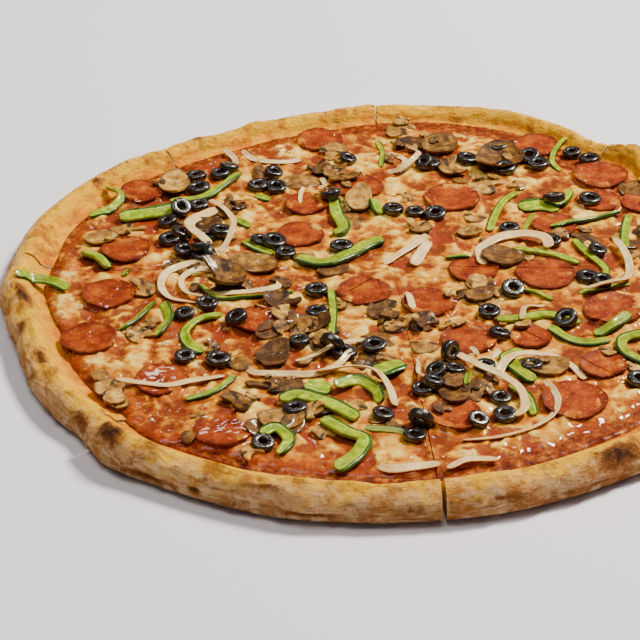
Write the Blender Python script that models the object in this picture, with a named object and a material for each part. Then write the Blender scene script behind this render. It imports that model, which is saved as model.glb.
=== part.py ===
"""A whole round pizza, cut into eight slices that still lie together.

Metres, +Z up. It rests on z = 0, and the origin is at the bottom, in the middle of its box.
Each slice is a dough with a raised rim, a layer of sauce and a layer of cheese. The sliced sausage
lies on the cheese as pieces of its own, and the smaller toppings are fused to what they lie on.
"""

import math

import bmesh
import bpy
from mathutils import Matrix, Vector

MM = 0.001

# The disc. Places below are in millimetres from a datum near the middle: x to the right, y to the back.
DATUM = Vector((-3.1, -13.5))
DISC_CENTRE = Vector((4.0, 11.0))
RIM_RADIUS = 234.0
OUTLINE_WAVES = ((2, -1.5, 3.2), (3, -1.3, -0.2), (4, 1.0, -3.3), (5, 1.4, 1.7))
RIM_WIDTH = 24.0
RIM_WIDTH_LESS_AT_BACK = 4.0
RIM_HEIGHT = 16.5
RIM_HEIGHT_LESS_AT_BACK = 3.0

# The cuts: directions from the point where they cross, in degrees, and how far each opens at the rim.
CUT_CROSSING = Vector((8.0, 20.0))
CUT_ANGLES = (45.4, 91.3, 134.4, 177.0, 225.3, 273.9, 314.4, 358.0)
CUT_OPENINGS = (1.6, 0.8, 1.0, 1.6, 1.8, 2.6, 0.8, 0.8)
TIP_SHIFT = 1.3

# Swells of the rim: slice, direction from the disc's centre, spread in degrees, outwards, upwards.
RIM_SWELLS = (
    (0, 50.0, 4.0, -3.0, -2.0), (0, 66.0, 5.0, 1.5, 1.0), (0, 80.0, 4.0, 0.5, -1.0),
    (1, 97.0, 5.0, -1.0, 1.0), (1, 112.0, 4.0, 1.5, 1.5), (1, 126.0, 4.0, 1.5, 0.5),
    (2, 140.0, 4.0, 1.0, 1.5), (2, 156.0, 6.0, -1.0, -0.5), (2, 170.0, 4.0, -1.5, 1.0),
    (3, 183.0, 5.0, 3.0, 1.0), (3, 197.0, 5.0, -1.5, 1.5), (3, 208.0, 4.0, 0.5, -1.0),
    (3, 222.0, 4.0, -3.0, -1.5),
    (4, 230.0, 4.0, 3.0, 3.0), (4, 243.0, 5.0, -1.0, -0.5), (4, 256.0, 5.0, 1.0, 1.5),
    (4, 267.0, 3.0, 0.5, -1.0),
    (5, 280.0, 4.0, 0.5, 1.5), (5, 296.0, 6.0, -0.5, 1.0), (5, 308.0, 4.0, 1.0, -1.0),
    (6, 322.0, 5.0, 1.5, 1.5), (6, 338.0, 6.0, -1.0, 0.5), (6, 351.0, 4.0, 1.0, -0.5),
    (7, 6.0, 5.0, -1.0, 1.0), (7, 22.0, 6.0, 1.0, -0.5), (7, 41.5, 3.0, 6.0, 4.0),
)

# A section through the rim: the share of its width in from the edge, and the share of its height.
RIM_SECTION = (
    (0.84, 0.45), (0.66, 0.80), (0.47, 1.00), (0.31, 0.96), (0.14, 0.82),
    (0.03, 0.58), (0.00, 0.38), (0.04, 0.17), (0.15, 0.03), (0.30, 0.00),
)
RIM_UPPER_ROWS = 7
RIM_CLEARANCE = 1.0
STEPS_A_SLICE = 10
SEARCH_STEPS = 12

# The layers, from the bottom up. An edge is how far out each point is and its share of the thickness.
GAP = 0.3
BASE_THICKNESS = 4.6
SAUCE_THICKNESS = 1.4
SAUCE_EDGE = ((-2.0, 1.0), (0.0, 0.6), (-1.0, 0.0))
SAUCE_BOTTOM = BASE_THICKNESS + GAP
CHEESE_BOTTOM = SAUCE_BOTTOM + SAUCE_THICKNESS + GAP
CHEESE_THICKNESS = 2.2
CHEESE_EDGE = ((-1.0, 0.65), (0.0, 0.25), (-1.5, 0.0))
CHEESE_ROWS = (0.0, 60.0, 115.0, 160.0)
CHEESE_SHOULDER = 4.0
CHEESE_WAVE = 0.225
CHEESE_WAVE_LENGTHS = (21.0, 18.0, 33.0)

# The sauce that shows between cheese and rim: its width, how it varies, and the waves along its edge
SAUCE_RING = 11.0
SAUCE_RING_SWING = 7.0
SAUCE_RING_NARROWEST = 200.0
SAUCE_RING_WAVES = ((9, 1.6), (17, 1.2))

# The room that a slice's toppings keep to
FENCE_TOP = 40.0
FENCE_SLOPE = 3.0
FENCE_SPARE = 0.15

# How the strips and ribbons lie
SINK = 1.0
RIBBON_ARCH = 1.6
STRIP_STEP = 16.0
STRIP_FLATNESS = 0.5
WIDE_STRIP = 10
WIDE_FLATNESS = 0.3
STRIP_END = 0.6
FLAT_WITHIN = math.radians(3.0)
SHARP_FROM = math.radians(35.0)

# Sliced sausage: place and radius
PEPPERONI_THICKNESS = 1.8
PEPPERONI_SIDES = 16
PEPPERONI_TAPER = 0.97
LEAST_SHARE = 0.25
ROOM = 0.4
ROOM_SIDES = 8
RIDES_WITHIN = 2.0
PEPPERONI = (
    (-173, -58, 16), (-165, -8, 16), (-159, 45, 15), (-154, 122, 15), (-127, -101, 15),
    (-90, -150, 16), (-75, -40, 14), (-50, 62, 15), (-46, 103, 14), (-37, 195, 16),
    (-11, 125, 16), (49, 108, 18), (-11, -8, 16), (27, -22, 16), (56, 15, 15),
    (100, 11, 18), (48, -62, 16), (84, -60, 12), (101, -125, 18), (35, -138, 15),
    (115, 189, 16), (155, 143, 18), (144, 103, 14), (112, 70, 14), (135, -32, 17),
    (122, -90, 13), (190, 108, 16), (186, 52, 16), (192, -14, 15), (166, -72, 16),
)

# Olive rings: place
OLIVE_RADIUS = 6.4
OLIVE_THICKNESS = 3.9
OLIVE_SIDES = 7
OLIVE_LIFT = 0.9
OLIVE_LEAN = 10.0
OLIVE_OVERHANG = 3.0
OLIVES = (
    (-118, -31), (-105, -21), (-87, -41), (-115, -77), (-96, -81), (-52, -132), (-69, -163), (-40, -6),
    (-40, -32), (-4, -136), (12, -157), (47, -146), (61, -123), (62, -139), (38, -94), (55, -91),
    (27, -98), (19, -113), (81, -92), (78, -10), (62, -33), (106, -44), (83, 68), (108, 50),
    (125, 6), (-50, -63), (-24, -75), (-116, 103), (-127, 92), (-135, 80), (-132, 58), (-108, 60),
    (-122, 42), (-110, 36), (-117, 125), (-104, 146), (-74, 54), (-59, 38), (-66, 125), (-30, 108),
    (10, 93), (24, 91), (-18, 163), (37, 156), (63, 163), (85, 181), (87, 148), (110, 155),
    (137, 175), (150, 166), (178, 82), (165, 18), (172, -35), (140, -105), (205, 20),
)

# Strips of green pepper: width, then the points along the strip
PEPPER_STRIPS = (
    (6, (-137, -17), (-145, -33), (-155, -47)),
    (7, (-131, -20), (-127, -36), (-133, -54)),
    (7, (-96, -33), (-110, -38), (-117, -52), (-112, -67), (-105, -72)),
    (5, (-110, 2), (-100, -14), (-80, -12), (-54, -6)),
    (5, (-86, -97), (-97, -112), (-112, -120)),
    (9, (-60, -124), (-50, -119), (-32, -128), (-18, -141)),
    (7, (-30, -112), (-18, -103), (-8, -112), (-5, -125)),
    (13, (-46, -106), (-33, -114)),
    (7, (-70, -156), (-62, -150), (-55, -160), (-60, -172)),
    (9, (-37, -142), (-26, -152), (-15, -160), (-19, -174), (-30, -187)),
    (15, (-6, -96), (9, -86)),
    (5, (-31, -4), (-30, -30), (-31, -56)),
    (9, (-28, 108), (-26, 88), (-22, 70), (-27, 60)),
    (8, (-3, 104), (1, 88)),
    (9, (-52, 30), (-35, 25), (-20, 35), (-8, 48), (2, 55)),
    (10, (-166, 86), (-146, 92), (-126, 97)),
    (6, (-178, 128), (-167, 112), (-175, 97), (-186, 90)),
    (9, (-185, 43), (-175, 35), (-168, 24)),
    (7, (-135, 108), (-115, 113), (-102, 128), (-91, 145)),
    (6, (-86, 55), (-76, 45), (-67, 38)),
    (4, (136, 202), (128, 183), (120, 162), (124, 148)),
    (4, (3, 195), (6, 175), (4, 155)),
    (6, (92, 118), (82, 103), (75, 85), (70, 66)),
    (13, (92, 96), (106, 99), (118, 96)),
    (6, (109, 66), (122, 72), (140, 80), (156, 88)),
    (7, (84, 42), (96, 38), (110, 33), (122, 26)),
    (5, (122, 52), (129, 36), (137, 20), (136, 4)),
    (6, (161, 84), (155, 60), (152, 40)),
    (5, (78, -3), (92, -10), (101, -18)),
    (7, (66, -42), (80, -40), (96, -36), (108, -40), (113, -47)),
    (6, (95, -52), (105, -62), (118, -66), (129, -64)),
    (7, (144, -40), (132, -52), (121, -58)),
    (7, (156, -60), (138, -63), (135, -78), (148, -89)),
    (8, (76, -74), (67, -83), (74, -97), (81, -106)),
    (6, (68, -108), (76, -122), (78, -138)),
    (6, (176, 132), (180, 112), (172, 96)),
    (7, (188, 20), (178, 2), (182, -16)),
    (6, (200, 60), (205, 42), (200, 30)),
    (6, (168, -92), (158, -100), (146, -98)),
)

# Ribbons of onion: width, then the points along the ribbon
ONION_RIBBONS = (
    (7, (-104, 94), (-116, 82), (-120, 67), (-114, 52), (-106, 38)),
    (4, (-109, 107), (-98, 90), (-92, 72), (-94, 54), (-100, 42)),
    (5, (-103, 23), (-116, 27), (-130, 17), (-134, 2), (-128, -12), (-112, -18)),
    (4, (-62, 8), (-64, -3), (-78, -8), (-100, -9)),
    (4, (-152, -101), (-135, -107), (-122, -110), (-110, -105), (-92, -96)),
    (4, (-80, -88), (-74, -96), (-60, -98), (-44, -97), (-29, -90), (-20, -76)),
    (4, (-52, -82), (-40, -78), (-26, -69), (-12, -63)),
    (5, (-40, -96), (-22, -93), (-8, -98), (0, -112), (3, -127)),
    (5, (60, -107), (66, -92), (78, -82), (92, -80), (104, -89), (110, -102)),
    (5, (40, -78), (50, -93), (62, -105), (72, -118), (73, -135), (67, -143)),
    (4, (87, -108), (92, -125), (88, -140), (75, -151), (56, -158), (38, -159)),
    (5, (28, -186), (39, -179), (55, -178)),
    (5, (-8, -182), (0, -187), (24, -182)),
    (7, (62, 20), (63, 40), (75, 54), (90, 58), (103, 50), (105, 38)),
    (5, (30, 60), (22, 48), (11, 36), (2, 26)),
    (7, (31, 52), (26, 38), (20, 24)),
    (5, (15, -13), (17, -32)),
    (5, (147, 48), (152, 25), (149, 4), (139, -5), (122, -10)),
    (4, (80, -45), (84, -29), (96, -23)),
    (4, (-90, 182), (-84, 169), (-74, 163), (-60, 163), (-50, 168)),
    (4, (-103, 183), (-96, 170), (-93, 158)),
    (4, (-36, 142), (-33, 125), (-37, 110)),
    (4, (24, 183), (30, 169), (27, 155), (18, 147), (8, 149)),
    (5, (176, 70), (186, 82), (198, 80)),
    (4, (160, -28), (174, -40), (186, -42)),
)

# Slices and scraps of mushroom: place, length, width, direction of the length in degrees
MUSHROOM_THICKNESS = 5.4
MUSHROOM_LIFT = 0.9
MUSHROOMS = (
    (-175, 60, 18, 12, 10), (-160, 74, 18, 12, 0), (-143, 0, 18, 14, 20), (-134, 131, 24, 15, 80),
    (-111, 72, 22, 15, 75), (-93, 8, 30, 24, 10), (-78, 27, 24, 14, -30), (-97, 100, 24, 11, 85),
    (-73, 146, 20, 12, 80), (-50, 136, 24, 14, 10), (-28, 176, 18, 15, 70), (-30, 152, 18, 12, 60),
    (-12, 106, 20, 13, 80), (-16, 84, 20, 13, 85), (28, 190, 22, 17, 75), (46, 186, 24, 18, 60),
    (20, 214, 18, 15, 10), (50, 150, 20, 17, 20), (85, 162, 32, 24, 60), (73, 130, 22, 17, 20),
    (62, 84, 20, 11, 65), (75, 32, 22, 18, 20), (-60, -18, 18, 12, -10), (-60, -34, 20, 15, 30),
    (-44, -44, 20, 13, -20), (0, -29, 16, 15, -40), (20, -43, 16, 13, 0),
    (-3, -61, 26, 17, 10), (-10, -82, 24, 14, 0), (-36, -64, 22, 14, -50), (-65, -76, 22, 14, 70),
    (-63, -107, 26, 9, 0), (-82, -125, 16, 14, 30), (-60, -142, 20, 14, 0), (-20, -127, 22, 12, 80),
    (-145, -50, 20, 10, -50), (36, -116, 24, 13, 80), (50, -114, 18, 13, 70),
    (64, -19, 24, 15, -20), (90, -91, 20, 14, 10), (22, -66, 16, 12, 80), (127, -76, 20, 8, 80),
    (170, 120, 20, 14, 40), (168, 60, 22, 14, 70), (182, -40, 22, 13, 20),
)

# The one strip of pepper that lies over the rim
RIM_STRIP_SLICE = 3
RIM_STRIP_WIDTH = 8
RIM_STRIP = ((-221, 2), (-212, 8), (-200, 5), (-190, -4))


def bump(distance, spread):
    return math.exp(-((distance / spread) ** 2))


def swell(piece, degrees, column):
    """How far the swells of one slice's rim add to it here: column 3 is outwards, 4 is upwards."""
    total = 0.0
    for row in RIM_SWELLS:
        if row[0] == piece:
            away = (degrees - row[1] + 180) % 360 - 180
            total += row[column] * bump(away, row[2])
    return total


def even_outline(angle):
    """Distance of the rim's outer edge from the disc's centre, without the swells."""
    return RIM_RADIUS + sum(c * math.cos(k * angle) + s * math.sin(k * angle) for k, c, s in OUTLINE_WAVES)


def outline(piece, angle):
    return even_outline(angle) + swell(piece, math.degrees(angle), 3)


def rim_width(angle):
    return RIM_WIDTH - RIM_WIDTH_LESS_AT_BACK * math.sin(angle)


def rim_height(piece, angle):
    return RIM_HEIGHT - RIM_HEIGHT_LESS_AT_BACK * math.sin(angle) + swell(piece, math.degrees(angle), 4)


def rim_top(piece, place):
    """Height of the rim's upper side, which rises from the base and falls again at the edge."""
    out = place - DISC_CENTRE
    angle = math.atan2(out.y, out.x)
    share = (outline(piece, angle) - out.length) / rim_width(angle)
    height = rim_height(piece, angle)
    above = [(1.0, BASE_THICKNESS / height), *RIM_SECTION[:RIM_UPPER_ROWS]]
    for (inner, low), (outer, high) in zip(above, above[1:]):
        if outer <= share <= inner:
            return height * (low + (high - low) * (inner - share) / (inner - outer))
    return BASE_THICKNESS


def sauce_ring(angle):
    """Width of the sauce that shows between the cheese and the rim."""
    turn = angle - math.radians(SAUCE_RING_NARROWEST)
    ragged = sum(size * math.sin(count * angle) for count, size in SAUCE_RING_WAVES)
    return SAUCE_RING - SAUCE_RING_SWING * math.cos(turn) + ragged


def cheese_top(place):
    across, along, slant = CHEESE_WAVE_LENGTHS
    wave = math.sin(place.x / across) + math.sin(place.y / along + place.x / slant)
    return CHEESE_BOTTOM + CHEESE_THICKNESS + CHEESE_WAVE * wave


def slice_at(place):
    """Number of the slice that holds this place."""
    out = place - CUT_CROSSING
    turn = math.degrees(math.atan2(out.y, out.x)) % 360
    return sum(angle <= turn for angle in CUT_ANGLES) - 1 if turn >= CUT_ANGLES[0] else len(CUT_ANGLES) - 1


class Slice:
    """One slice: its tip, its two sides, and rays from the tip out to the rim."""

    def __init__(self, number, spare=0.0):
        self.number = number
        start, end = CUT_ANGLES[number], CUT_ANGLES[(number + 1) % len(CUT_ANGLES)]
        end += 360 if end < start else 0
        middle = math.radians((start + end) / 2)
        self.tip = CUT_CROSSING + (TIP_SHIFT - spare) * Vector((math.cos(middle), math.sin(middle)))
        opening = CUT_OPENINGS[number], CUT_OPENINGS[(number + 1) % len(CUT_OPENINGS)]
        self.start = math.radians(start) + opening[0] / 2 / RIM_RADIUS
        self.end = math.radians(end) - opening[1] / 2 / RIM_RADIUS

    def rays(self):
        """(direction, distance to the outline, direction from the disc's centre) for each step."""
        for step in range(STEPS_A_SLICE + 1):
            turn = self.start + (self.end - self.start) * step / STEPS_A_SLICE
            towards = Vector((math.cos(turn), math.sin(turn)))
            reach = RIM_RADIUS
            for _ in range(SEARCH_STEPS):
                out = self.tip + reach * towards - DISC_CENTRE
                angle = math.atan2(out.y, out.x)
                reach += outline(self.number, angle) - out.length
            yield towards, reach, angle

    def loft(self, name, section):
        """A closed solid through the section that section(slice, towards, reach, angle) gives on each ray."""
        mesh = bmesh.new()
        columns = []
        for towards, reach, angle in self.rays():
            column = []
            for out, height in section(self, towards, reach, angle):
                place = self.tip + out * towards
                column.append(mesh.verts.new((place.x, place.y, height)))
            columns.append(column)
        count = len(columns[0])
        for left, right in zip(columns, columns[1:]):
            for i in range(count):
                j = (i + 1) % count
                mesh.faces.new((left[i], right[i], right[j], left[j]))
        mesh.faces.new(columns[0])
        mesh.faces.new(reversed(columns[-1]))
        bmesh.ops.remove_doubles(mesh, verts=mesh.verts, dist=1e-4)
        bmesh.ops.recalc_face_normals(mesh, faces=mesh.faces)
        return new_object(name, mesh)


def new_object(name, mesh):
    """An object of this mesh, whose millimetres from the datum become metres from the origin."""
    data = bpy.data.meshes.new(name)
    bmesh.ops.triangulate(mesh, faces=mesh.faces)
    mesh.to_mesh(data)
    mesh.free()
    data.transform(Matrix.Scale(MM, 4) @ Matrix.Translation((DATUM.x, DATUM.y, 0)))
    return bpy.data.objects.new(name, data)


def dough_section(piece, towards, reach, angle):
    width, height = rim_width(angle), rim_height(piece.number, angle)
    rim = [(reach - share * width, rise * height) for share, rise in RIM_SECTION]
    return [(0, 0), (0, BASE_THICKNESS), (reach - width, BASE_THICKNESS)] + rim


def sauce_section(piece, towards, reach, angle):
    edge = reach - rim_width(angle) - 2 * GAP
    rows = [(edge + out, SAUCE_BOTTOM + share * SAUCE_THICKNESS) for out, share in SAUCE_EDGE]
    return [(0, SAUCE_BOTTOM), (0, SAUCE_BOTTOM + SAUCE_THICKNESS)] + rows


def cheese_section(piece, towards, reach, angle):
    edge = reach - rim_width(angle) - sauce_ring(angle)
    rows = [(0, CHEESE_BOTTOM)]
    for out in (*CHEESE_ROWS, edge - CHEESE_SHOULDER):
        rows.append((out, cheese_top(piece.tip + out * towards)))
    return rows + [(edge + out, CHEESE_BOTTOM + share * CHEESE_THICKNESS) for out, share in CHEESE_EDGE]


def fence_section(piece, towards, reach, angle):
    """The room that a slice's toppings keep to, from just under the cheese."""
    edge = reach - rim_width(angle)
    low = CHEESE_BOTTOM - FENCE_SPARE
    return (0, low), (0, FENCE_TOP), (edge + FENCE_SLOPE, FENCE_TOP), (edge, low)


def inside_rim(x, y, size):
    """The place, drawn in towards the middle where a piece this big would meet the rim."""
    out = Vector((x, y)) - DISC_CENTRE
    angle = math.atan2(out.y, out.x)
    room = even_outline(angle) - rim_width(angle) - size - RIM_CLEARANCE
    if out.length > room:
        out.length = room
    return DISC_CENTRE + out


class Disc:
    """Where one slice of sausage lies, and the olives on it."""

    def __init__(self, x, y, radius):
        self.centre = inside_rim(x, y, radius)
        self.radius = radius
        ring = [self.at(radius, turn) for turn in range(0, 360, 30)]
        self.bottom = max(cheese_top(place) for place in ring + [self.centre]) + GAP
        self.top = self.bottom + PEPPERONI_THICKNESS
        self.olives = []

    def at(self, out, degrees):
        turn = math.radians(degrees)
        return self.centre + out * Vector((math.cos(turn), math.sin(turn)))

    def covers(self, place, margin=0.0):
        return (place - self.centre).length < self.radius - margin

    def slices(self):
        """The slices that hold a fair share of it."""
        shares = (0.5, 0.8, 1.0)
        held = [slice_at(self.at(share * self.radius, turn)) for turn in range(0, 360, 20) for share in shares]
        return [number for number in sorted(set(held)) if held.count(number) >= LEAST_SHARE * len(held)]


def cylinder(name, centre, radius, bottom, top, sides, taper=1.0):
    mesh = bmesh.new()
    bmesh.ops.create_cone(
        mesh, cap_ends=True, segments=sides, radius1=radius * taper, radius2=radius, depth=top - bottom
    )
    bmesh.ops.translate(mesh, verts=mesh.verts, vec=(centre.x, centre.y, (bottom + top) / 2))
    return new_object(name, mesh)


def olive(name, number, place, under):
    """A ring cut from an olive that lies, leaning a little, on what is under it."""
    wall = OLIVE_THICKNESS / 2
    lean = OLIVE_LEAN * math.sin(number)
    bpy.ops.mesh.primitive_torus_add(
        major_segments=OLIVE_SIDES, minor_segments=3, major_radius=OLIVE_RADIUS - wall, minor_radius=wall
    )
    made = bpy.context.object
    mesh = bmesh.new()
    mesh.from_mesh(made.data)
    bpy.data.objects.remove(made)
    turn = Matrix.Rotation(math.radians(lean), 4, Vector((math.cos(number), math.sin(number), 0)))
    mesh.transform(Matrix.Translation((place.x, place.y, under + OLIVE_LIFT)) @ turn)
    return new_object(name, mesh)


def mushroom(name, place, length, width, degrees):
    mesh = bmesh.new()
    bmesh.ops.create_uvsphere(mesh, u_segments=6, v_segments=3, radius=1)
    size = Matrix.Diagonal((length / 2, width / 2, MUSHROOM_THICKNESS / 2, 1))
    turn = Matrix.Rotation(math.radians(degrees), 4, "Z")
    height = cheese_top(place) + MUSHROOM_LIFT
    mesh.transform(Matrix.Translation((place.x, place.y, height)) @ turn @ size)
    return new_object(name, mesh)


def strip_outline(name, flatness):
    """The cross-section of a strip one unit wide, flat below and rounded above."""
    data = bpy.data.curves.new(name, "CURVE")
    data.dimensions = "2D"
    corners = ((-0.5, -0.5), (0.5, -0.5), (0.3, 0.5), (-0.3, 0.5))
    spline = data.splines.new("POLY")
    spline.points.add(len(corners) - 1)
    for point, (side, up) in zip(spline.points, corners):
        point.co = (side, up * flatness, 0, 1)
    spline.use_cyclic_u = True
    made = bpy.data.objects.new(name, data)
    made.hide_render = True
    helpers.objects.link(made)
    return made


def smooth_path(points, spacing):
    """Places about this far apart on one smooth curve through the points."""
    points = [Vector(point) for point in points]
    ends = [2 * points[0] - points[1]] + points + [2 * points[-1] - points[-2]]
    path = []
    for before, a, b, after in zip(ends, ends[1:], ends[2:], ends[3:]):
        steps = max(1, round((b - a).length / spacing))
        for step in range(steps):
            t = step / steps
            bend = (2 * before - 5 * a + 4 * b - after) * t * t + (3 * a - before - 3 * b + after) * t ** 3
            path.append((2 * a + (b - before) * t + bend) / 2)
    return path + [points[-1]]


def strip(name, width, path, heights, outline_object):
    """A strip along the path, whose middle is at these heights."""
    data = bpy.data.curves.new(name, "CURVE")
    data.dimensions = "3D"
    data.twist_mode = "Z_UP"
    data.bevel_mode = "OBJECT"
    data.bevel_object = outline_object
    data.use_fill_caps = True
    spline = data.splines.new("POLY")
    spline.points.add(len(path) - 1)
    for point, place, height in zip(spline.points, path, heights):
        point.co = (place.x, place.y, height, 1)
        point.radius = width
    for point in (spline.points[0], spline.points[-1]):
        point.radius = width * STRIP_END
    guide = bpy.data.objects.new(name, data)
    helpers.objects.link(guide)
    swept = guide.evaluated_get(bpy.context.evaluated_depsgraph_get())
    mesh = bmesh.new()
    made = bpy.data.meshes.new_from_object(swept)
    mesh.from_mesh(made)
    bpy.data.objects.remove(guide)
    bpy.data.meshes.remove(made)
    bmesh.ops.remove_doubles(mesh, verts=mesh.verts, dist=1e-4)
    bmesh.ops.recalc_face_normals(mesh, faces=mesh.faces)
    return new_object(name, mesh)


def resting_height(place, half, lift):
    """Height of the middle of a strip that sinks into the cheese and passes over the sausage."""
    for disc in DISCS:
        if disc.covers(place, -RIDES_WITHIN):
            return disc.top + 2 * ROOM + half
    return cheese_top(place) - SINK + half + lift


def lying_strip(name, width, points, arch):
    """A strip or ribbon on the cheese, which rises by its arch between its two ends."""
    wide = width > WIDE_STRIP
    half = width * (WIDE_FLATNESS if wide else STRIP_FLATNESS) / 2
    path = smooth_path(points, STRIP_STEP)
    turns = [math.pi * i / (len(path) - 1) for i in range(len(path))]
    heights = [resting_height(place, half, arch * math.sin(turn)) for place, turn in zip(path, turns)]
    return strip(name, width, path, heights, wide_outline if wide else narrow_outline)


def holder(name, parts):
    """A hidden collection that one Boolean reads."""
    made = bpy.data.collections.new(name)
    helpers.children.link(made)
    for part in parts:
        made.objects.link(part)
    return made


def combine(base, additions, rooms, fence):
    """base with the additions, kept inside the fence and clear of the rooms, as one plain body."""
    helpers.objects.link(base)
    held = []
    for operation, parts in (("UNION", additions), ("INTERSECT", fence), ("DIFFERENCE", rooms)):
        if not parts:
            continue
        held.append(holder(base.name + operation.lower(), parts))
        modifier = base.modifiers.new(operation.lower(), "BOOLEAN")
        modifier.operation = operation
        modifier.operand_type = "COLLECTION"
        modifier.collection = held[-1]
        modifier.solver = "EXACT"
    mesh = bmesh.new()
    mesh.from_object(base, bpy.context.evaluated_depsgraph_get())
    for collection in held:
        for part in list(collection.objects):
            bpy.data.objects.remove(part)
        bpy.data.collections.remove(collection)
    base.modifiers.clear()
    keep_largest(mesh)
    bmesh.ops.dissolve_limit(mesh, angle_limit=FLAT_WITHIN, verts=mesh.verts, edges=mesh.edges)
    bmesh.ops.triangulate(mesh, faces=mesh.faces)
    mesh.to_mesh(base.data)
    mesh.free()
    helpers.objects.unlink(base)
    return base


def keep_largest(mesh):
    """Drops the loose scraps that a cut leaves, and the hollows that a join seals."""
    left, bodies = set(mesh.faces), []
    while left:
        body, front = [], [left.pop()]
        while front:
            face = front.pop()
            body.append(face)
            for edge in face.edges:
                for other in edge.link_faces:
                    if other in left:
                        left.remove(other)
                        front.append(other)
        bodies.append(body)
    largest = max(bodies, key=len)
    scraps = [face for body in bodies if body is not largest for face in body]
    bmesh.ops.delete(mesh, geom=scraps, context="FACES")


def material(name, colour, roughness):
    made = bpy.data.materials.new(name)
    made.use_nodes = True
    shader = made.node_tree.nodes["Principled BSDF"]
    shader.inputs["Base Color"].default_value = (*colour, 1)
    shader.inputs["Roughness"].default_value = roughness
    return made


def finish(node, surface):
    node.data.materials.clear()
    node.data.materials.append(surface)
    node.data.shade_smooth()
    node.data.set_sharp_from_angle(angle=SHARP_FROM)
    pizza.objects.link(node)


def toppings_of(number):
    """The small toppings that are fused to the cheese of one slice, those over its cuts among them."""
    near = {number, (number - 1) % len(CUT_ANGLES), (number + 1) % len(CUT_ANGLES)}
    made = []
    for i, (x, y) in enumerate(OLIVES):
        place = inside_rim(x, y, OLIVE_RADIUS)
        if slice_at(place) in near and not any(disc.covers(place, OLIVE_OVERHANG) for disc in DISCS):
            made.append(olive(f"olive_{i}", i, place, cheese_top(place)))
    for i, (x, y, length, width, degrees) in enumerate(MUSHROOMS):
        place = inside_rim(x, y, width / 2)
        if slice_at(place) in near and not any(disc.covers(place) for disc in DISCS):
            made.append(mushroom(f"mushroom_{i}", place, length, width, degrees))
    for i, (width, *points) in enumerate(PEPPER_STRIPS):
        if near & {slice_at(Vector(point)) for point in points}:
            made.append(lying_strip(f"pepper_{i}", width, points, 0.0))
    for i, (width, *points) in enumerate(ONION_RIBBONS):
        if near & {slice_at(Vector(point)) for point in points}:
            made.append(lying_strip(f"onion_{i}", width, points, RIBBON_ARCH))
    return made


for old in list(bpy.data.objects):
    bpy.data.objects.remove(old)

pizza = bpy.data.collections.new("pizza")
helpers = bpy.data.collections.new("cutters")
helpers.hide_render = True
bpy.context.scene.collection.children.link(pizza)
bpy.context.scene.collection.children.link(helpers)

baked_dough = material("baked_dough", (0.78, 0.55, 0.30), 0.75)
tomato_sauce = material("tomato_sauce", (0.42, 0.06, 0.02), 0.45)
melted_cheese = material("melted_cheese", (0.86, 0.62, 0.33), 0.35)
sausage = material("sausage", (0.52, 0.12, 0.05), 0.40)
green_pepper = material("green_pepper", (0.22, 0.36, 0.05), 0.30)

narrow_outline = strip_outline("narrow_strip_outline", STRIP_FLATNESS)
wide_outline = strip_outline("wide_strip_outline", WIDE_FLATNESS)

DISCS = [Disc(*row) for row in PEPPERONI]
for number, (x, y) in enumerate(OLIVES):
    place = inside_rim(x, y, OLIVE_RADIUS)
    for disc in DISCS:
        if disc.covers(place, OLIVE_OVERHANG):
            out = place - disc.centre
            out.length = min(out.length, disc.radius - OLIVE_RADIUS)
            disc.olives.append((number, disc.centre + out))

for number in range(len(CUT_ANGLES)):
    piece, wider = Slice(number), Slice(number, FENCE_SPARE)
    finish(piece.loft(f"dough_{number + 1}", dough_section), baked_dough)
    finish(piece.loft(f"sauce_{number + 1}", sauce_section), tomato_sauce)
    rooms = []
    for i, disc in enumerate(DISCS):
        bottom, top = disc.bottom - ROOM / 2, disc.top + ROOM
        size = disc.radius + 1.5 * ROOM
        rooms.append(cylinder(f"room_{i}", disc.centre, size, bottom, top, PEPPERONI_SIDES))
        for j, place in disc.olives:
            size = OLIVE_RADIUS + ROOM
            over = top + 2 * OLIVE_THICKNESS
            rooms.append(cylinder(f"olive_room_{j}", place, size, bottom, over, ROOM_SIDES))
    cheese = piece.loft(f"cheese_{number + 1}", cheese_section)
    fence = [wider.loft(f"fence_{number}", fence_section)]
    finish(combine(cheese, toppings_of(number), rooms, fence), melted_cheese)

for i, disc in enumerate(DISCS):
    held = disc.slices()
    for half, number in enumerate(held):
        name = f"pepperoni_{i + 1:02d}" + ("ab"[half] if len(held) > 1 else "")
        body = cylinder(
            name, disc.centre, disc.radius, disc.bottom, disc.top, PEPPERONI_SIDES, PEPPERONI_TAPER
        )
        rings = [olive(f"olive_{j}", j, place, disc.top) for j, place in disc.olives]
        fence = [Slice(number, FENCE_SPARE).loft(f"fence_{number}", fence_section)]
        finish(combine(body, rings, [], fence), sausage)


def over_rim(place):
    """Height of the strip's middle, clear of the highest crust under its width and of the cheese."""
    reach = RIM_STRIP_WIDTH / 2
    beside = [place + Vector(step) * reach for step in ((0, 0), (1, 0), (-1, 0), (0, 1), (0, -1))]
    under = max([rim_top(RIM_STRIP_SLICE, near) for near in beside] + [cheese_top(place) + RIBBON_ARCH])
    return under + RIM_STRIP_WIDTH * STRIP_FLATNESS / 2 + 2 * ROOM


rim_path = smooth_path(RIM_STRIP, STRIP_STEP / 4)
rim_heights = [over_rim(place) for place in rim_path]
finish(strip("pepper_over_rim", RIM_STRIP_WIDTH, rim_path, rim_heights, narrow_outline), green_pepper)
bpy.data.objects.remove(narrow_outline)
bpy.data.objects.remove(wide_outline)
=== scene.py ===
"""The looks of a whole round pizza, cut into eight slices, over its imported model.

Places and sizes are in millimetres from a datum near the middle of the disc, as in the model's own
source, and become metres from the origin when a mesh is made.
"""

import math
import random

import bmesh
import bpy
import numpy as np
from mathutils import Matrix, Vector, noise


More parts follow.
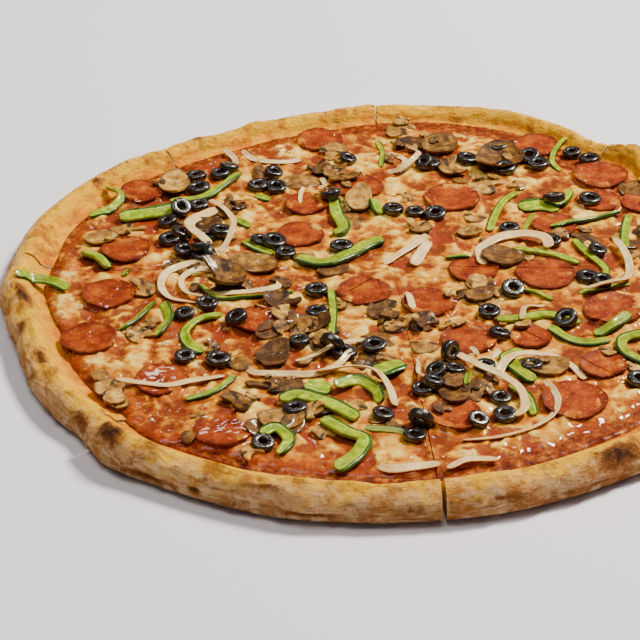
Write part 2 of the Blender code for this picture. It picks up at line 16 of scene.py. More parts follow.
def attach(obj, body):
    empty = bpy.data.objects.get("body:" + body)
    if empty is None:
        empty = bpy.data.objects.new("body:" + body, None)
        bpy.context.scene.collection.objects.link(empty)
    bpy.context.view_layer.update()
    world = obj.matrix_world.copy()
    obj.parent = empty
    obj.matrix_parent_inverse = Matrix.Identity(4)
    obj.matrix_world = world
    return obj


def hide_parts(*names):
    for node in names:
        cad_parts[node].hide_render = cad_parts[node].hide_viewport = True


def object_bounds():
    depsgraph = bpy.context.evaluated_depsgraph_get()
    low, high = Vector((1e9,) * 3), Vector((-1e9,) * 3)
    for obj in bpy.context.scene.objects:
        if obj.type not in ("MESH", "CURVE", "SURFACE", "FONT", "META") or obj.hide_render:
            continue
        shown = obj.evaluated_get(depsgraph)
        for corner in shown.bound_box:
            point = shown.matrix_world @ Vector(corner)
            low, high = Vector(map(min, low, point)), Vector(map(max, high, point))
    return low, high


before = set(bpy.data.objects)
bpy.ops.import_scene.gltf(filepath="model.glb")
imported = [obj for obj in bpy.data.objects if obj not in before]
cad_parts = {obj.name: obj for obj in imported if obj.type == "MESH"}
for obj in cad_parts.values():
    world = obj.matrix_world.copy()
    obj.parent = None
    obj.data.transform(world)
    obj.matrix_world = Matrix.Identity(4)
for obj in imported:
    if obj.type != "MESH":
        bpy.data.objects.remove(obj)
cad_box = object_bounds()

# The dough: wheat dough pulled out by hand into a disc, with a thick rolled rim, baked on a stone deck.
# A wheel cut it into eight slices, which still lie together. The rim is floury and toasted in patches,
# its inner slope took up oil and sauce, and the cuts show pale crumb.
MM = 0.001
DATUM = Vector((-3.1, -13.5))
DISC_CENTRE = Vector((4.0, 11.0))
RIM_RADIUS = 234.0
OUTLINE_WAVES = ((2, -1.5, 3.2), (3, -1.3, -0.2), (4, 1.0, -3.3), (5, 1.4, 1.7))
RIM_WIDTH = 24.0
RIM_WIDTH_LESS_AT_BACK = 4.0
RIM_HEIGHT = 16.5
RIM_HEIGHT_LESS_AT_BACK = 3.0
BASE_THICKNESS = 4.6
GAP = 0.3

CUT_CROSSING = Vector((8.0, 20.0))
CUT_ANGLES = (45.4, 91.3, 134.4, 177.0, 225.3, 273.9, 314.4, 358.0)
CUT_OPENINGS = (0.8, 0.5, 0.6, 0.8, 1.0, 1.9, 0.5, 0.5)
TIP_SHIFT = 0.6

# Swells of the rim: slice, direction from the disc's centre, spread in degrees, outwards, upwards
RIM_SWELLS = (
    (0, 50.0, 4.0, -3.0, -2.0), (0, 66.0, 5.0, 1.5, 1.0), (0, 80.0, 4.0, 0.5, -1.0),
    (1, 97.0, 5.0, -1.0, 1.0), (1, 112.0, 4.0, 1.5, 1.5), (1, 126.0, 4.0, 1.5, 0.5),
    (2, 140.0, 4.0, 1.0, 1.5), (2, 156.0, 6.0, -1.0, -0.5), (2, 170.0, 4.0, -1.5, 1.0),
    (3, 183.0, 5.0, 3.0, 1.0), (3, 197.0, 5.0, -1.5, 1.5), (3, 208.0, 4.0, 0.5, -1.0),
    (3, 222.0, 4.0, -3.0, -1.5),
    (4, 230.0, 4.0, 3.0, 3.0), (4, 243.0, 5.0, -1.0, -0.5), (4, 256.0, 5.0, 1.0, 1.5),
    (4, 267.0, 3.0, 0.5, -1.0),
    (5, 280.0, 4.0, 0.5, 1.5), (5, 296.0, 6.0, -0.5, 1.0), (5, 308.0, 4.0, 1.0, -1.0),
    (6, 322.0, 5.0, 1.5, 1.5), (6, 338.0, 6.0, -1.0, 0.5), (6, 351.0, 4.0, 1.0, -0.5),
    (7, 6.0, 5.0, -1.0, 1.0), (7, 22.0, 6.0, 1.0, -0.5), (7, 41.5, 3.0, 6.0, 4.0),
)

# A section through the rim: the share of its width in from the edge, and the share of its height
RIM_SECTION = (
    (0.84, 0.45), (0.66, 0.80), (0.47, 1.00), (0.31, 0.96), (0.14, 0.82),
    (0.03, 0.58), (0.00, 0.38), (0.04, 0.17), (0.15, 0.03), (0.30, 0.00),
)
INNER_FOOT = 1.24
INNER_BEND = 1.4
SAUCE_FOOT = 1.10
RIM_STEPS_A_POINT = 5
CRUST_STEP = 1.3
UNDER_ROWS = 16
UNDER_INSET = 0.34
SEARCH_STEPS = 12
STREAK_PER_DEGREE = 0.0009
STREAK_SHIFT = 60
SHARP_DOUGH = 55

# Toasted places of the rim: direction, place round the section from inner foot to underside, spread
# in degrees, spread round the section, strength
SCORCHES = (
    (188.0, 0.27, 3.4, 0.13, 0.95), (229.0, 0.42, 2.4, 0.15, 0.95), (42.0, 0.45, 2.0, 0.12, 0.8),
    (222.0, 0.55, 3.0, 0.12, 0.6), (324.0, 0.62, 3.0, 0.12, 0.8), (243.0, 0.66, 1.0, 0.05, 1.0),
    (283.0, 0.60, 2.5, 0.05, 0.6), (206.0, 0.34, 2.6, 0.10, 0.75), (197.0, 0.48, 1.8, 0.08, 0.7),
    (252.0, 0.48, 2.4, 0.05, 0.6), (258.0, 0.70, 5.0, 0.04, 0.7), (236.0, 0.70, 4.0, 0.05, 0.8),
    (271.0, 0.62, 3.0, 0.05, 0.5), (296.0, 0.72, 5.0, 0.05, 0.5), (148.0, 0.25, 1.6, 0.08, 0.7),
    (120.0, 0.58, 4.0, 0.08, 0.5), (97.0, 0.45, 3.0, 0.08, 0.4), (70.0, 0.62, 5.0, 0.08, 0.6),
    (20.0, 0.60, 4.0, 0.10, 0.7), (352.0, 0.52, 3.0, 0.08, 0.6), (338.0, 0.66, 4.0, 0.08, 0.6),
    (165.0, 0.66, 5.0, 0.08, 0.5), (300.0, 0.49, 4.4, 0.14, 0.9),
)


def swell(piece, degrees, column):
    """How far the swells of one slice's rim add to it here: column 3 is outwards, 4 is upwards."""
    total = 0.0
    for row in RIM_SWELLS:
        if row[0] == piece:
            away = (degrees - row[1] + 180) % 360 - 180
            total += row[column] * math.exp(-((away / row[2]) ** 2))
    return total


def even_outline(angle):
    return RIM_RADIUS + sum(c * math.cos(k * angle) + s * math.sin(k * angle) for k, c, s in OUTLINE_WAVES)


def outline(piece, angle):
    return even_outline(angle) + swell(piece, math.degrees(angle), 3)


def rim_width(angle):
    return RIM_WIDTH - RIM_WIDTH_LESS_AT_BACK * math.sin(angle)


def rim_height(piece, angle):
    return RIM_HEIGHT - RIM_HEIGHT_LESS_AT_BACK * math.sin(angle) + swell(piece, math.degrees(angle), 4)


def slice_rays(number, step, apart=1.0):
    """The tip of a slice, and (direction, distance to its edge, direction from the disc's centre) on rays.

    The rays are this step apart at the rim.
    """
    start, end = CUT_ANGLES[number], CUT_ANGLES[(number + 1) % len(CUT_ANGLES)]
    end += 360 if end < start else 0
    steps = int(RIM_RADIUS * math.radians(end - start) / step)
    middle = math.radians((start + end) / 2)
    tip = CUT_CROSSING + apart * TIP_SHIFT * Vector((math.cos(middle), math.sin(middle)))
    start = math.radians(start) + apart * CUT_OPENINGS[number] / 2 / RIM_RADIUS
    end = math.radians(end) - apart * CUT_OPENINGS[(number + 1) % len(CUT_OPENINGS)] / 2 / RIM_RADIUS
    rays = []
    for step in range(steps + 1):
        turn = start + (end - start) * step / steps
        towards = Vector((math.cos(turn), math.sin(turn)))
        reach = RIM_RADIUS
        for _ in range(SEARCH_STEPS):
            out = tip + reach * towards - DISC_CENTRE
            angle = math.atan2(out.y, out.x)
            reach += outline(number, angle) - out.length
        rays.append((towards, reach, angle))
    return tip, rays


def lumps(places, size, seed=0):
    """Smooth noise from -1 to 1 at each place, with lumps about this size."""
    shift = Vector((17.3 * seed, 5.1 * seed, 3.7 * seed))
    return np.array([noise.noise(Vector(place) / size + shift) for place in places])


def smooth_step(value, low, high):
    share = np.clip((value - low) / (high - low), 0, 1)
    return share * share * (3 - 2 * share)


def through(points, steps):
    """Points on one smooth curve through these, this many to each stretch."""
    points = [Vector(point) for point in points]
    ends = [2 * points[0] - points[1]] + points + [2 * points[-1] - points[-2]]
    path = []
    for before, a, b, after in zip(ends, ends[1:], ends[2:], ends[3:]):
        for t in (step / steps for step in range(steps)):
            bend = (2 * before - 5 * a + 4 * b - after) * t * t + (3 * a - before - 3 * b + after) * t ** 3
            path.append((2 * a + (b - before) * t + bend) / 2)
    return path + [points[-1]]


def finished(name, data, sharp, replaced):
    """The piece of the pizza with this mesh, creased where it turns by more than this many degrees."""
    data.shade_smooth()
    data.set_sharp_from_angle(angle=math.radians(sharp))
    piece = bpy.data.objects.new(name, data)
    bpy.context.scene.collection.objects.link(piece)
    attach(piece, "root")
    if replaced:
        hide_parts(*replaced)


def piece_of(name, places, faces, finish, fields=(), replaced=()):
    """One piece of the finished pizza, from places in millimetres, with its own fields for its finish."""
    data = bpy.data.meshes.new(name)
    metres = (np.asarray(places, float) + (DATUM.x, DATUM.y, 0)) * MM
    data.from_pydata(np.clip(metres, cad_box[0], cad_box[1]).tolist(), [], faces)
    for field, values in dict(fields).items():
        data.attributes.new(field, "FLOAT", "POINT").data.foreach_set("value", np.asarray(values, float))
    mesh = bmesh.new()
    mesh.from_mesh(data)
    bmesh.ops.remove_doubles(mesh, verts=mesh.verts, dist=1e-7)
    bmesh.ops.recalc_face_normals(mesh, faces=mesh.faces)
    mesh.to_mesh(data)
    mesh.free()
    data.materials.append(finish)
    finished(name, data, SHARP_DOUGH, replaced)


def closed_loft(columns, count, own_ends=False):
    """Faces of a solid of columns of this many places, each closed on itself, with a flat face at both ends.

    The ends may have places of their own, which follow those of all the columns.
    """
    faces = []
    for a in range(0, (columns - 1) * count, count):
        for i in range(count):
            j = (i + 1) % count
            faces.append((a + i, a + count + i, a + count + j, a + j))
    first, last = (columns * count, (columns + 1) * count) if own_ends else (0, (columns - 1) * count)
    faces.append(tuple(range(first, first + count)))
    faces.append(tuple(range(last + count - 1, last - 1, -1)))
    return faces


class Nodes:
    """A tree of nodes that feed one another."""

    def feed(self, socket, value):
        if isinstance(value, bpy.types.NodeSocket):
            self.tree.links.new(value, socket)
        elif socket.type == "RGBA":
            socket.default_value = (*value, 1)
        else:
            socket.default_value = value

    def made(self, kind, output, values=(), **settings):
        """This output of a new node whose inputs are fed these values."""
        node = self.tree.nodes.new(kind)
        for key, value in settings.items():
            setattr(node, key, value)
        for socket, value in dict(values).items():
            self.feed(node.inputs[socket], value)
        return node.outputs[output]

    def sum(self, a, b, operation="ADD"):
        return self.made("ShaderNodeMath", "Value", {0: a, 1: b}, operation=operation)

    def times(self, a, b):
        return self.sum(a, b, "MULTIPLY")


class Finish(Nodes):
    """A material whose colours and fine reliefs are laid over one another on one shader."""

    def __init__(self, name, **constants):
        self.material = bpy.data.materials.new(name)
        self.material.use_nodes = True
        self.tree = self.material.node_tree
        self.shader = self.tree.nodes["Principled BSDF"].inputs
        self.place = self.made("ShaderNodeTexCoord", "Object")
        self.relief = None
        for socket, value in constants.items():
            self.feed(self.shader[socket.replace("_", " ")], value)

    def own(self, field):
        """The piece's own field of this name."""
        return self.made("ShaderNodeAttribute", "Fac", attribute_name=field)

    def patches(self, size, detail=3.0, roughness=0.55, place=None):
        """Soft patches about this many millimetres across, mostly from 0.3 to 0.7."""
        values = {"Vector": place or self.place, "Scale": 1 / (size * MM)}
        return self.made("ShaderNodeTexNoise", "Fac", {**values, "Detail": detail, "Roughness": roughness})

    def cells(self, size):
        """Distance from the middle of each of many cells about this many millimetres across."""
        return self.made("ShaderNodeTexVoronoi", "Distance", {"Vector": self.place, "Scale": 1 / (size * MM)})

    def span(self, value, low, high, start=0.0, end=1.0):
        """The value stretched from low..high to start..end, and kept there."""
        values = {"Value": value, "From Min": low, "From Max": high, "To Min": start, "To Max": end}
        return self.made("ShaderNodeMapRange", "Result", values)

    def uneven(self, depth, size, detail=3.0, roughness=0.55):
        """Patches of this size that add or take away up to this depth."""
        return self.span(self.patches(size, detail, roughness), 0.3, 0.7, -depth, depth)

    def ramp(self, value, *stops):
        """Colours that run into one another at these values."""
        colour = self.made("ShaderNodeValToRGB", "Color", {"Fac": value})
        points = colour.node.color_ramp.elements
        while len(points) < len(stops):
            points.new(0.5)
        for point, (at, shade) in zip(points, stops):
            point.position = at
            point.color = (*shade, 1)
        return colour

    def lay(self, colour, share=None, strength=None):
        """Lays a colour over what is there, as thick as its share."""
        if strength is not None:
            share = self.times(share, strength)
        if share is not None:
            # The node's inputs 6 and 7 are its two colours, and its output 2 is what they make
            values = {"Factor": share, 6: self.colour, 7: colour}
            colour = self.made("ShaderNodeMix", 2, values, data_type="RGBA")
        self.colour = colour
        self.feed(self.shader["Base Color"], colour)

    def bump(self, height, depth):
        """Lays fine relief this many millimetres deep over what is there."""
        values = {"Height": height, "Distance": depth * MM}
        if self.relief is not None:
            values["Normal"] = self.relief
        self.relief = self.made("ShaderNodeBump", "Normal", values)
        self.feed(self.shader["Normal"], self.relief)

    def wear(self, low, high, size=5):
        """The material, its roughness from low to high in patches this many millimetres across."""
        self.feed(self.shader["Roughness"], self.span(self.patches(size), 0.35, 0.65, low, high))
        return self.material


def dough_finish():
    crust = Finish("baked_dough", Specular_IOR_Level=0.10, Subsurface_Weight=0.05, Subsurface_Scale=0.002)
    place_round = crust.own("round")
    # Round the rim's section the colour runs from oily gold on the inner slope and crest to dark brown low on
    # the outer side, and paler again underneath. The dark low on the outer side, which faces down and away
    # from the lamps, is partly browning on the stone and partly painted shade.
    crust.lay(crust.ramp(
        crust.sum(place_round, crust.uneven(0.17, 16, 5, 0.65)),
        (0.00, (0.78, 0.22, 0.001)), (0.10, (0.97, 0.41, 0.002)), (0.24, (1.00, 0.51, 0.004)),
        (0.36, (0.99, 0.52, 0.020)), (0.45, (0.95, 0.51, 0.10)), (0.57, (0.66, 0.33, 0.11)),
        (0.75, (0.30, 0.115, 0.030)), (0.88, (0.15, 0.052, 0.013)), (1.00, (0.50, 0.32, 0.15)),
    ))
    outside = crust.span(place_round, 0.40, 0.54)
    flour = crust.times(crust.span(crust.patches(8, 6, 0.72), 0.46, 0.60), outside)
    crust.lay((0.92, 0.58, 0.28), flour, 0.80)
    toast = crust.span(crust.patches(17, 6, 0.7), 0.51, 0.62)
    crust.lay((0.40, 0.115, 0.010), toast, 0.80)
    turns = {"X": crust.own("arc"), "Y": crust.times(place_round, 0.06)}
    rolled = crust.patches(3.2, 5, 0.65, crust.made("ShaderNodeCombineXYZ", "Vector", turns))
    dusted = crust.times(crust.span(rolled, 0.46, 0.34), outside)
    crust.lay((0.95, 0.68, 0.38), dusted, 0.60)
    streaks = crust.times(crust.span(rolled, 0.53, 0.65), crust.span(place_round, 0.30, 0.55))
    crust.lay((0.22, 0.085, 0.022), streaks, 0.75)
    blisters = crust.times(crust.span(crust.cells(11), 0.36, 0.08), crust.span(crust.patches(26), 0.47, 0.58))
    crust.lay((0.42, 0.13, 0.010), blisters, 0.75)
    freckles = crust.span(crust.patches(2.0, 5, 0.65), 0.58, 0.70)
    crust.lay((0.26, 0.105, 0.030), freckles, 0.45)
    scorched = crust.sum(crust.own("scorch"), crust.uneven(0.28, 5, 6, 0.7))
    crust.lay((0.30, 0.095, 0.018), crust.span(scorched, 0.15, 0.55))
    crust.lay((0.045, 0.018, 0.009), crust.span(scorched, 0.50, 0.90))
    crumb = crust.ramp(crust.patches(3, 5), (0.35, (0.60, 0.32, 0.07)), (0.65, (0.85, 0.58, 0.22)))
    crust.lay(crumb, crust.own("crumb"))
    crust.bump(crust.patches(6, 6, 0.7), 3.0)
    crust.bump(blisters, 0.9)
    crust.bump(rolled, 1.8)
    crust.bump(crust.patches(1.1, 5, 0.6), 0.7)
    crust.feed(crust.shader["Roughness"], crust.span(place_round, 0.12, 0.40, 0.50, 0.80))
    return crust.material


def scorch_at(degrees, place_round):
    total = 0.0
    for direction, round_at, spread, round_spread, strength in SCORCHES:
        away = ((degrees - direction + 180) % 360 - 180) / spread
        total = max(total, strength * math.exp(-(away ** 2) - ((place_round - round_at) / round_spread) ** 2))
    return total


baked_dough = dough_finish()
section = through([(INNER_FOOT, 0.0), *RIM_SECTION], RIM_STEPS_A_POINT)
last = len(section) - 1
count = len(section) + UNDER_ROWS + 2

for number in range(len(CUT_ANGLES)):
    tip, rays = slice_rays(number, CRUST_STEP)
    rows, arcs = [], []
    for towards, reach, angle in rays:
        degrees = math.degrees(angle)
        turned = (degrees - CUT_ANGLES[number] + 180) % 360 - 180
        arcs += [(number * STREAK_SHIFT + turned) * STREAK_PER_DEGREE] * count
        width, height = rim_width(angle), rim_height(number, angle)
        climb = RIM_SECTION[0][1] * height - BASE_THICKNESS
        for row, (share, rise) in enumerate(section):
            level = rise * height
            if row < RIM_STEPS_A_POINT:
                level = BASE_THICKNESS + climb * (row / RIM_STEPS_A_POINT) ** INNER_BEND
            ahead, behind = section[min(row + 1, last)], section[max(row - 1, 0)]
            slope = Vector(((behind[0] - ahead[0]) * width, (ahead[1] - behind[1]) * height)).normalized()
            push = (slope.y * towards.x, slope.y * towards.y, slope.x)
            place = tip + (reach - share * width) * towards
            rows.append((*place, level, *push, row / last, scorch_at(degrees, row / last)))
        outs = [reach * (1 - (i + 1) / (UNDER_ROWS + 1)) for i in range(UNDER_ROWS)]
        under = [(min(out, reach - UNDER_INSET * width), 0, 1.0) for out in outs]
        for out, level, place_round in under + [(0, 0, 1.0), (0, BASE_THICKNESS, 0.0)]:
            rows.append((*(tip + out * towards), level, 0, 0, 0, place_round, 0))
    table = np.array(rows)
    places, pushes, around, scorch = table[:, :3], table[:, 3:6], table[:, 6], table[:, 7]
    relief = 1.7 * lumps(places, 19, number) + 1.3 * lumps(places, 7, number + 9)
    relief += 0.35 * lumps(places, 2.8, 40)
    crease = np.exp(-(((around - 0.73 - 0.03 * lumps(places, 30, 60)) / 0.022) ** 2))
    relief -= 1.1 * crease * (0.5 + 0.5 * lumps(places, 40, 70)).clip(0, 1)
    cracks = np.exp(-((lumps(places, 15, 90) / 0.10) ** 2)) * smooth_step(lumps(places, 33, 91), 0.0, 0.3)
    relief += 2.0 * scorch - 1.0 * cracks
    scorch = np.maximum(scorch, 0.42 * cracks * (around > 0.2))
    free = ((around > 0.04) & (around < 0.95)) * np.minimum(1, (1 - around) * 8)
    places = places + pushes * (relief * free)[:, None]
    fields = {
        "round": np.concatenate([around, around[:count], around[-count:]]),
        "arc": np.concatenate([arcs, arcs[:count], arcs[-count:]]),
        "scorch": np.concatenate([scorch, np.zeros(2 * count)]),
        "crumb": np.concatenate([np.zeros(len(places)), np.ones(2 * count)]),
    }
    places = np.vstack([places, places[:count], places[-count:]])
    faces = closed_loft(len(rays), count, own_ends=True)
    piece_of(f"crust_{number + 1}", places, faces, baked_dough,
             fields, [f"dough_{number + 1}"])

# The tomato sauce: cooked, thick and lumpy, ladled on the raw dough in a spiral and baked under the
# cheese. It shows as a moist dark red ring inside the rim and where the cheese is thin.
SAUCE_THICKNESS = 1.4
SAUCE_BOTTOM = BASE_THICKNESS + GAP
SAUCE_TOP = SAUCE_BOTTOM + SAUCE_THICKNESS
SAUCE_RING = 11.0
SAUCE_RING_SWING = 7.0
SAUCE_RING_NARROWEST = 200.0
SAUCE_RING_WAVES = ((9, 1.6), (17, 1.2))
SAUCE_STEP = 2.2
SAUCE_INNER_ROWS = (0, 40, 80, 120)
SAUCE_OPEN_WIDTH = 32.0
SAUCE_ROWS = 26
SAUCE_LAP = 5
MELTED_TOGETHER = 0.3
CHEESE_BOTTOM = SAUCE_TOP + GAP


def sauce_ring(angle):
    """Width of the sauce that shows between the cheese and the rim."""
    turn = angle - math.radians(SAUCE_RING_NARROWEST)
    ragged = sum(size * math.sin(count * angle) for count, size in SAUCE_RING_WAVES)
    return SAUCE_RING - SAUCE_RING_SWING * math.cos(turn) + ragged


def sauce_finish():
    sauce = Finish("tomato_sauce", Specular_IOR_Level=0.10, Coat_Weight=0.12, Coat_Roughness=0.14)
    sauce.lay(sauce.ramp(
        sauce.patches(6, 6, 0.65),
        (0.32, (0.060, 0.006, 0.001)), (0.46, (0.15, 0.019, 0.001)), (0.57, (0.28, 0.058, 0.003)),
        (0.69, (0.58, 0.23, 0.014)),
    ))
    sauce.bump(sauce.patches(2.4, 4), 1.2)
    return sauce.wear(0.38, 0.60)


tomato_sauce = sauce_finish()

for number in range(len(CUT_ANGLES)):
    tip, rays = slice_rays(number, SAUCE_STEP, MELTED_TOGETHER)
    places, open_share = [], []
    for towards, reach, angle in rays:
        edge = reach - SAUCE_FOOT * rim_width(angle)
        outs = [0, *SAUCE_INNER_ROWS]
        outs += [edge - SAUCE_OPEN_WIDTH * (1 - i / SAUCE_ROWS) for i in range(SAUCE_ROWS)] + [edge, edge - 1]
        upper = [SAUCE_TOP] * (len(outs) - 3)
        levels = [SAUCE_BOTTOM, *upper, SAUCE_BOTTOM + SAUCE_THICKNESS / 2, SAUCE_BOTTOM]
        for out, level in zip(outs, levels):
            places.append((*(tip + out * towards), level))
            beyond = (out - (edge - sauce_ring(angle) - SAUCE_LAP)) / 4
            open_share.append(min(1, max(0, beyond)) * (level == SAUCE_TOP))
    places, free = np.array(places), np.array(open_share)
    places[:, 2] += free * (0.55 + 0.60 * lumps(places, 6, 80) + 0.30 * lumps(places, 2.7, 81))
    faces = closed_loft(len(rays), len(levels))
    piece_of(f"sauce_of_slice_{number + 1}", places, faces, tomato_sauce,
             {}, [f"sauce_{number + 1}"])

# The cheese: shredded mozzarella, melted into one sheet on each slice. Its lumps are cream and its hollows
# darker orange-brown: partly oil from the sausage that runs into the hollows, and partly painted light on
# the lumps and painted shade in the hollows. It browns in spots, and where it is thin the sauce shows.
CHEESE_THICKNESS = 2.2
CHEESE_WAVE = 0.225
CHEESE_WAVE_LENGTHS = (21.0, 18.0, 33.0)
CHEESE_STEP = 1.4
CHEESE_ROWS = 145
SHREDS = 3000
SHRED_LENGTHS = (0.5, 5.0)
SHRED_WIDTHS = (1.1, 2.3)
SHRED_REACH = 12
EDGE_ROWS = ((-5.0, 0.95), (-3.6, 0.85), (-2.2, 0.66), (-1.0, 0.40), (0.0, 0.06), (-0.5, 0.0))
EDGE_ROOM = 6.4
EDGE_WAVES = ((5.0, 17, 3), (2.4, 7, 7))
EDGE_RED = 15.0
GROUND_LOW = -260
GROUND_CELLS = 520

# Sliced sausage, which the cheese clings to: place and radius
PEPPERONI_THICKNESS = 1.8
PEPPERONI = (
    (-173, -58, 16), (-165, -8, 16), (-159, 45, 15), (-154, 122, 15), (-127, -101, 15),
    (-90, -150, 16), (-75, -40, 14), (-50, 62, 15), (-46, 103, 14), (-37, 195, 16),
    (-11, 125, 16), (49, 108, 18), (-11, -8, 16), (27, -22, 16), (56, 15, 15),
    (100, 11, 18), (48, -62, 16), (84, -60, 12), (101, -125, 18), (35, -138, 15),
    (115, 189, 16), (155, 143, 18), (144, 103, 14), (112, 70, 14), (135, -32, 17),
    (122, -90, 13), (190, 108, 16), (186, 52, 16), (192, -14, 15), (166, -72, 16),
)


def grain(size, seed):
    """A smooth random field over the whole disc, from -1 to 1, with lumps about this size."""
    cells = int(GROUND_CELLS / size) + 3
    corners = np.random.default_rng(seed).uniform(-1, 1, (cells, cells))
    at = np.arange(GROUND_CELLS) / size
    low, part = at.astype(int), at % 1
    part = part * part * (3 - 2 * part)
    across = corners[low] * (1 - part)[:, None] + corners[low + 1] * part[:, None]
    return across[:, low] * (1 - part) + across[:, low + 1] * part


def cheese_level(x, y):
    across, along, slant = CHEESE_WAVE_LENGTHS
    wave = np.sin(x / across) + np.sin(y / along + x / slant)
    return CHEESE_BOTTOM + CHEESE_THICKNESS + CHEESE_WAVE * wave


def inside_rim(x, y, size):
    """The place, drawn in towards the middle where a piece this big would meet the rim."""
    out = Vector((x, y)) - DISC_CENTRE
    angle = math.atan2(out.y, out.x)
    room = even_outline(angle) - rim_width(angle) - size - 1
    if out.length > room:
        out.length = room
    return DISC_CENTRE + out


axis = GROUND_LOW + np.arange(GROUND_CELLS)
ground_x, ground_y = np.meshgrid(axis, axis, indexing="ij")
shreds = np.zeros_like(ground_x, dtype=float)
draw = random.Random(8)
for _ in range(SHREDS):
    x, y = draw.uniform(-RIM_RADIUS, RIM_RADIUS), draw.uniform(-RIM_RADIUS, RIM_RADIUS)
    turn, length, width = draw.uniform(0, math.pi), draw.uniform(*SHRED_LENGTHS), draw.uniform(*SHRED_WIDTHS)
    i, j = int(x - GROUND_LOW), int(y - GROUND_LOW)
    window = (slice(i - SHRED_REACH, i + SHRED_REACH), slice(j - SHRED_REACH, j + SHRED_REACH))
    east, north = ground_x[window] - x, ground_y[window] - y
    along = east * math.cos(turn) + north * math.sin(turn)
    aside = north * math.cos(turn) - east * math.sin(turn)
    beyond = np.maximum(np.abs(along) - length, 0)
    shred = draw.uniform(0.4, 1) * np.exp(-(beyond ** 2 + aside ** 2) / width ** 2)
    shreds[window] = np.maximum(shreds[window], shred)
relief = 0.85 * grain(13, 1) + 0.50 * grain(6.3, 2) + 0.25 * grain(3.1, 3) + 1.0 * shreds - 0.35
bare = smooth_step(0.8 * grain(21, 4) + 0.5 * grain(7.7, 5) - 0.5 * shreds, 0.26, 0.58)
oil = 0.5 + 0.5 * grain(17, 7)
ground = cheese_level(ground_x, ground_y) + relief - 0.7 * bare
DISCS = []
for x, y, radius in PEPPERONI:
    centre = inside_rim(x, y, radius)
    turns = np.radians(np.arange(0, 360, 30))
    ring = cheese_level(centre.x + radius * np.cos(turns), centre.y + radius * np.sin(turns))
    bottom = max(ring.max(), cheese_level(centre.x, centre.y)) + GAP
    DISCS.append((centre, radius, bottom))
    away = np.hypot(ground_x - centre.x, ground_y - centre.y) - radius
    lap = smooth_step(grain(10, 30 + len(DISCS)) + 0.04 * away, 0.02, 0.30) * smooth_step(away, -8.5, -4.5)
    lapped = bottom - 0.15 + lap * (PEPPERONI_THICKNESS + 1.3)
    ground = np.where(away < 0, lapped, ground + 0.9 * np.exp(-((away / 3) ** 2)))
    oil = np.maximum(oil, 1.1 * np.exp(-((np.maximum(away, 0) / 6) ** 2)))
ground = np.maximum(ground, CHEESE_BOTTOM + 0.5)
# Height of the cheese's surface, from 0 deep in its hollows to 1 on its lumps, which the finish paints from
# dark to cream: partly oil, partly painted shade and painted light
hollow = 0.5 + 0.5 * relief


def sample(field, x, y):
    """The field's value at each place, between its cells."""
    across, along = np.asarray(x) - GROUND_LOW, np.asarray(y) - GROUND_LOW
    i, j = np.floor(across).astype(int), np.floor(along).astype(int)
    s, t = across - i, along - j
    near = field[i, j] * (1 - s) + field[i + 1, j] * s
    far = field[i, j + 1] * (1 - s) + field[i + 1, j + 1] * s
    return near * (1 - t) + far * t


def cheese_finish():
    cheese = Finish("melted_cheese", Specular_IOR_Level=0.10, Subsurface_Weight=0.10, Subsurface_Scale=0.002,
                    Coat_Weight=0.45, Coat_Roughness=0.05)
    # Dark orange-brown in the hollows to cream on the lumps: oil that pools in the hollows, with painted
    # shade in the hollows and painted light on the lumps
    cheese.lay(cheese.ramp(
        cheese.sum(cheese.own("hollow"), cheese.uneven(0.28, 6, 5, 0.6)),
        (0.12, (0.20, 0.030, 0.001)), (0.30, (0.36, 0.082, 0.002)), (0.46, (0.58, 0.20, 0.004)),
        (0.64, (0.80, 0.40, 0.024)), (0.88, (0.95, 0.68, 0.16)),
    ))
    oily = cheese.sum(cheese.own("oil"), cheese.uneven(0.4, 6, 5, 0.65))
    cheese.lay((0.58, 0.14, 0.002), cheese.span(oily, 0.60, 1.20, 0, 0.75))
    thin = cheese.sum(cheese.own("bare"), cheese.uneven(0.4, 3.5, 5, 0.7))
    cheese.lay((0.26, 0.028, 0.003), cheese.span(thin, 0.40, 0.80, 0, 0.90))
    spots = cheese.span(cheese.cells(9), 0.34, 0.12)
    browned = cheese.times(spots, cheese.span(cheese.patches(16), 0.46, 0.60))
    cheese.lay((0.25, 0.065, 0.010), browned, 0.7)
    cheese.bump(cheese.patches(2.6, 5, 0.65), 1.3)
    return cheese.wear(0.38, 0.60, 8)


melted_cheese = cheese_finish()

for number in range(len(CUT_ANGLES)):
    tip, rays = slice_rays(number, CHEESE_STEP, MELTED_TOGETHER)
    x, y, shares, reds = [], [], [], []
    for towards, reach, angle in rays:
        edge = reach - rim_width(angle) - sauce_ring(angle)
        around = tip + edge * towards
        for depth, size, seed in EDGE_WAVES:
            edge += depth * noise.noise((around.x / size, around.y / size, seed))
        edge = min(edge, reach - SAUCE_FOOT * rim_width(angle))
        outs = [0] + [(edge - EDGE_ROOM) * i / CHEESE_ROWS for i in range(CHEESE_ROWS + 1)]
        outs += [edge + out for out, share in EDGE_ROWS]
        shares += [0] + [1] * (CHEESE_ROWS + 1) + [share for out, share in EDGE_ROWS]
        reds += [max(0.0, 1 - (edge - out) / EDGE_RED) for out in outs]
        x += [tip.x + out * towards.x for out in outs]
        y += [tip.y + out * towards.y for out in outs]
    x, y, shares, reds = (np.array(values) for values in (x, y, shares, reds))
    places = np.stack([x, y, CHEESE_BOTTOM + shares * (sample(ground, x, y) - CHEESE_BOTTOM)], 1)
    fields = {
        "hollow": sample(hollow, x, y),
        "bare": np.maximum(sample(bare, x, y), 0.9 * reds),
        "oil": sample(oil, x, y) + 0.3 * reds,
    }
    piece_of(f"cheese_of_slice_{number + 1}", places, closed_loft(len(rays), len(outs)), melted_cheese,
             fields, [f"cheese_{number + 1}"])

# The sausage: round slices of cured pork and beef, cut thin. In the oven their edges curled up and
# darkened, and their fat ran out. The wheel cut five of them in two.
PEPPERONI_SIDES = 56
PEPPERONI_RINGS = 11
CUT_DISCS = (13, 15, 16, 18, 26)
DISC_GAP = 0.7


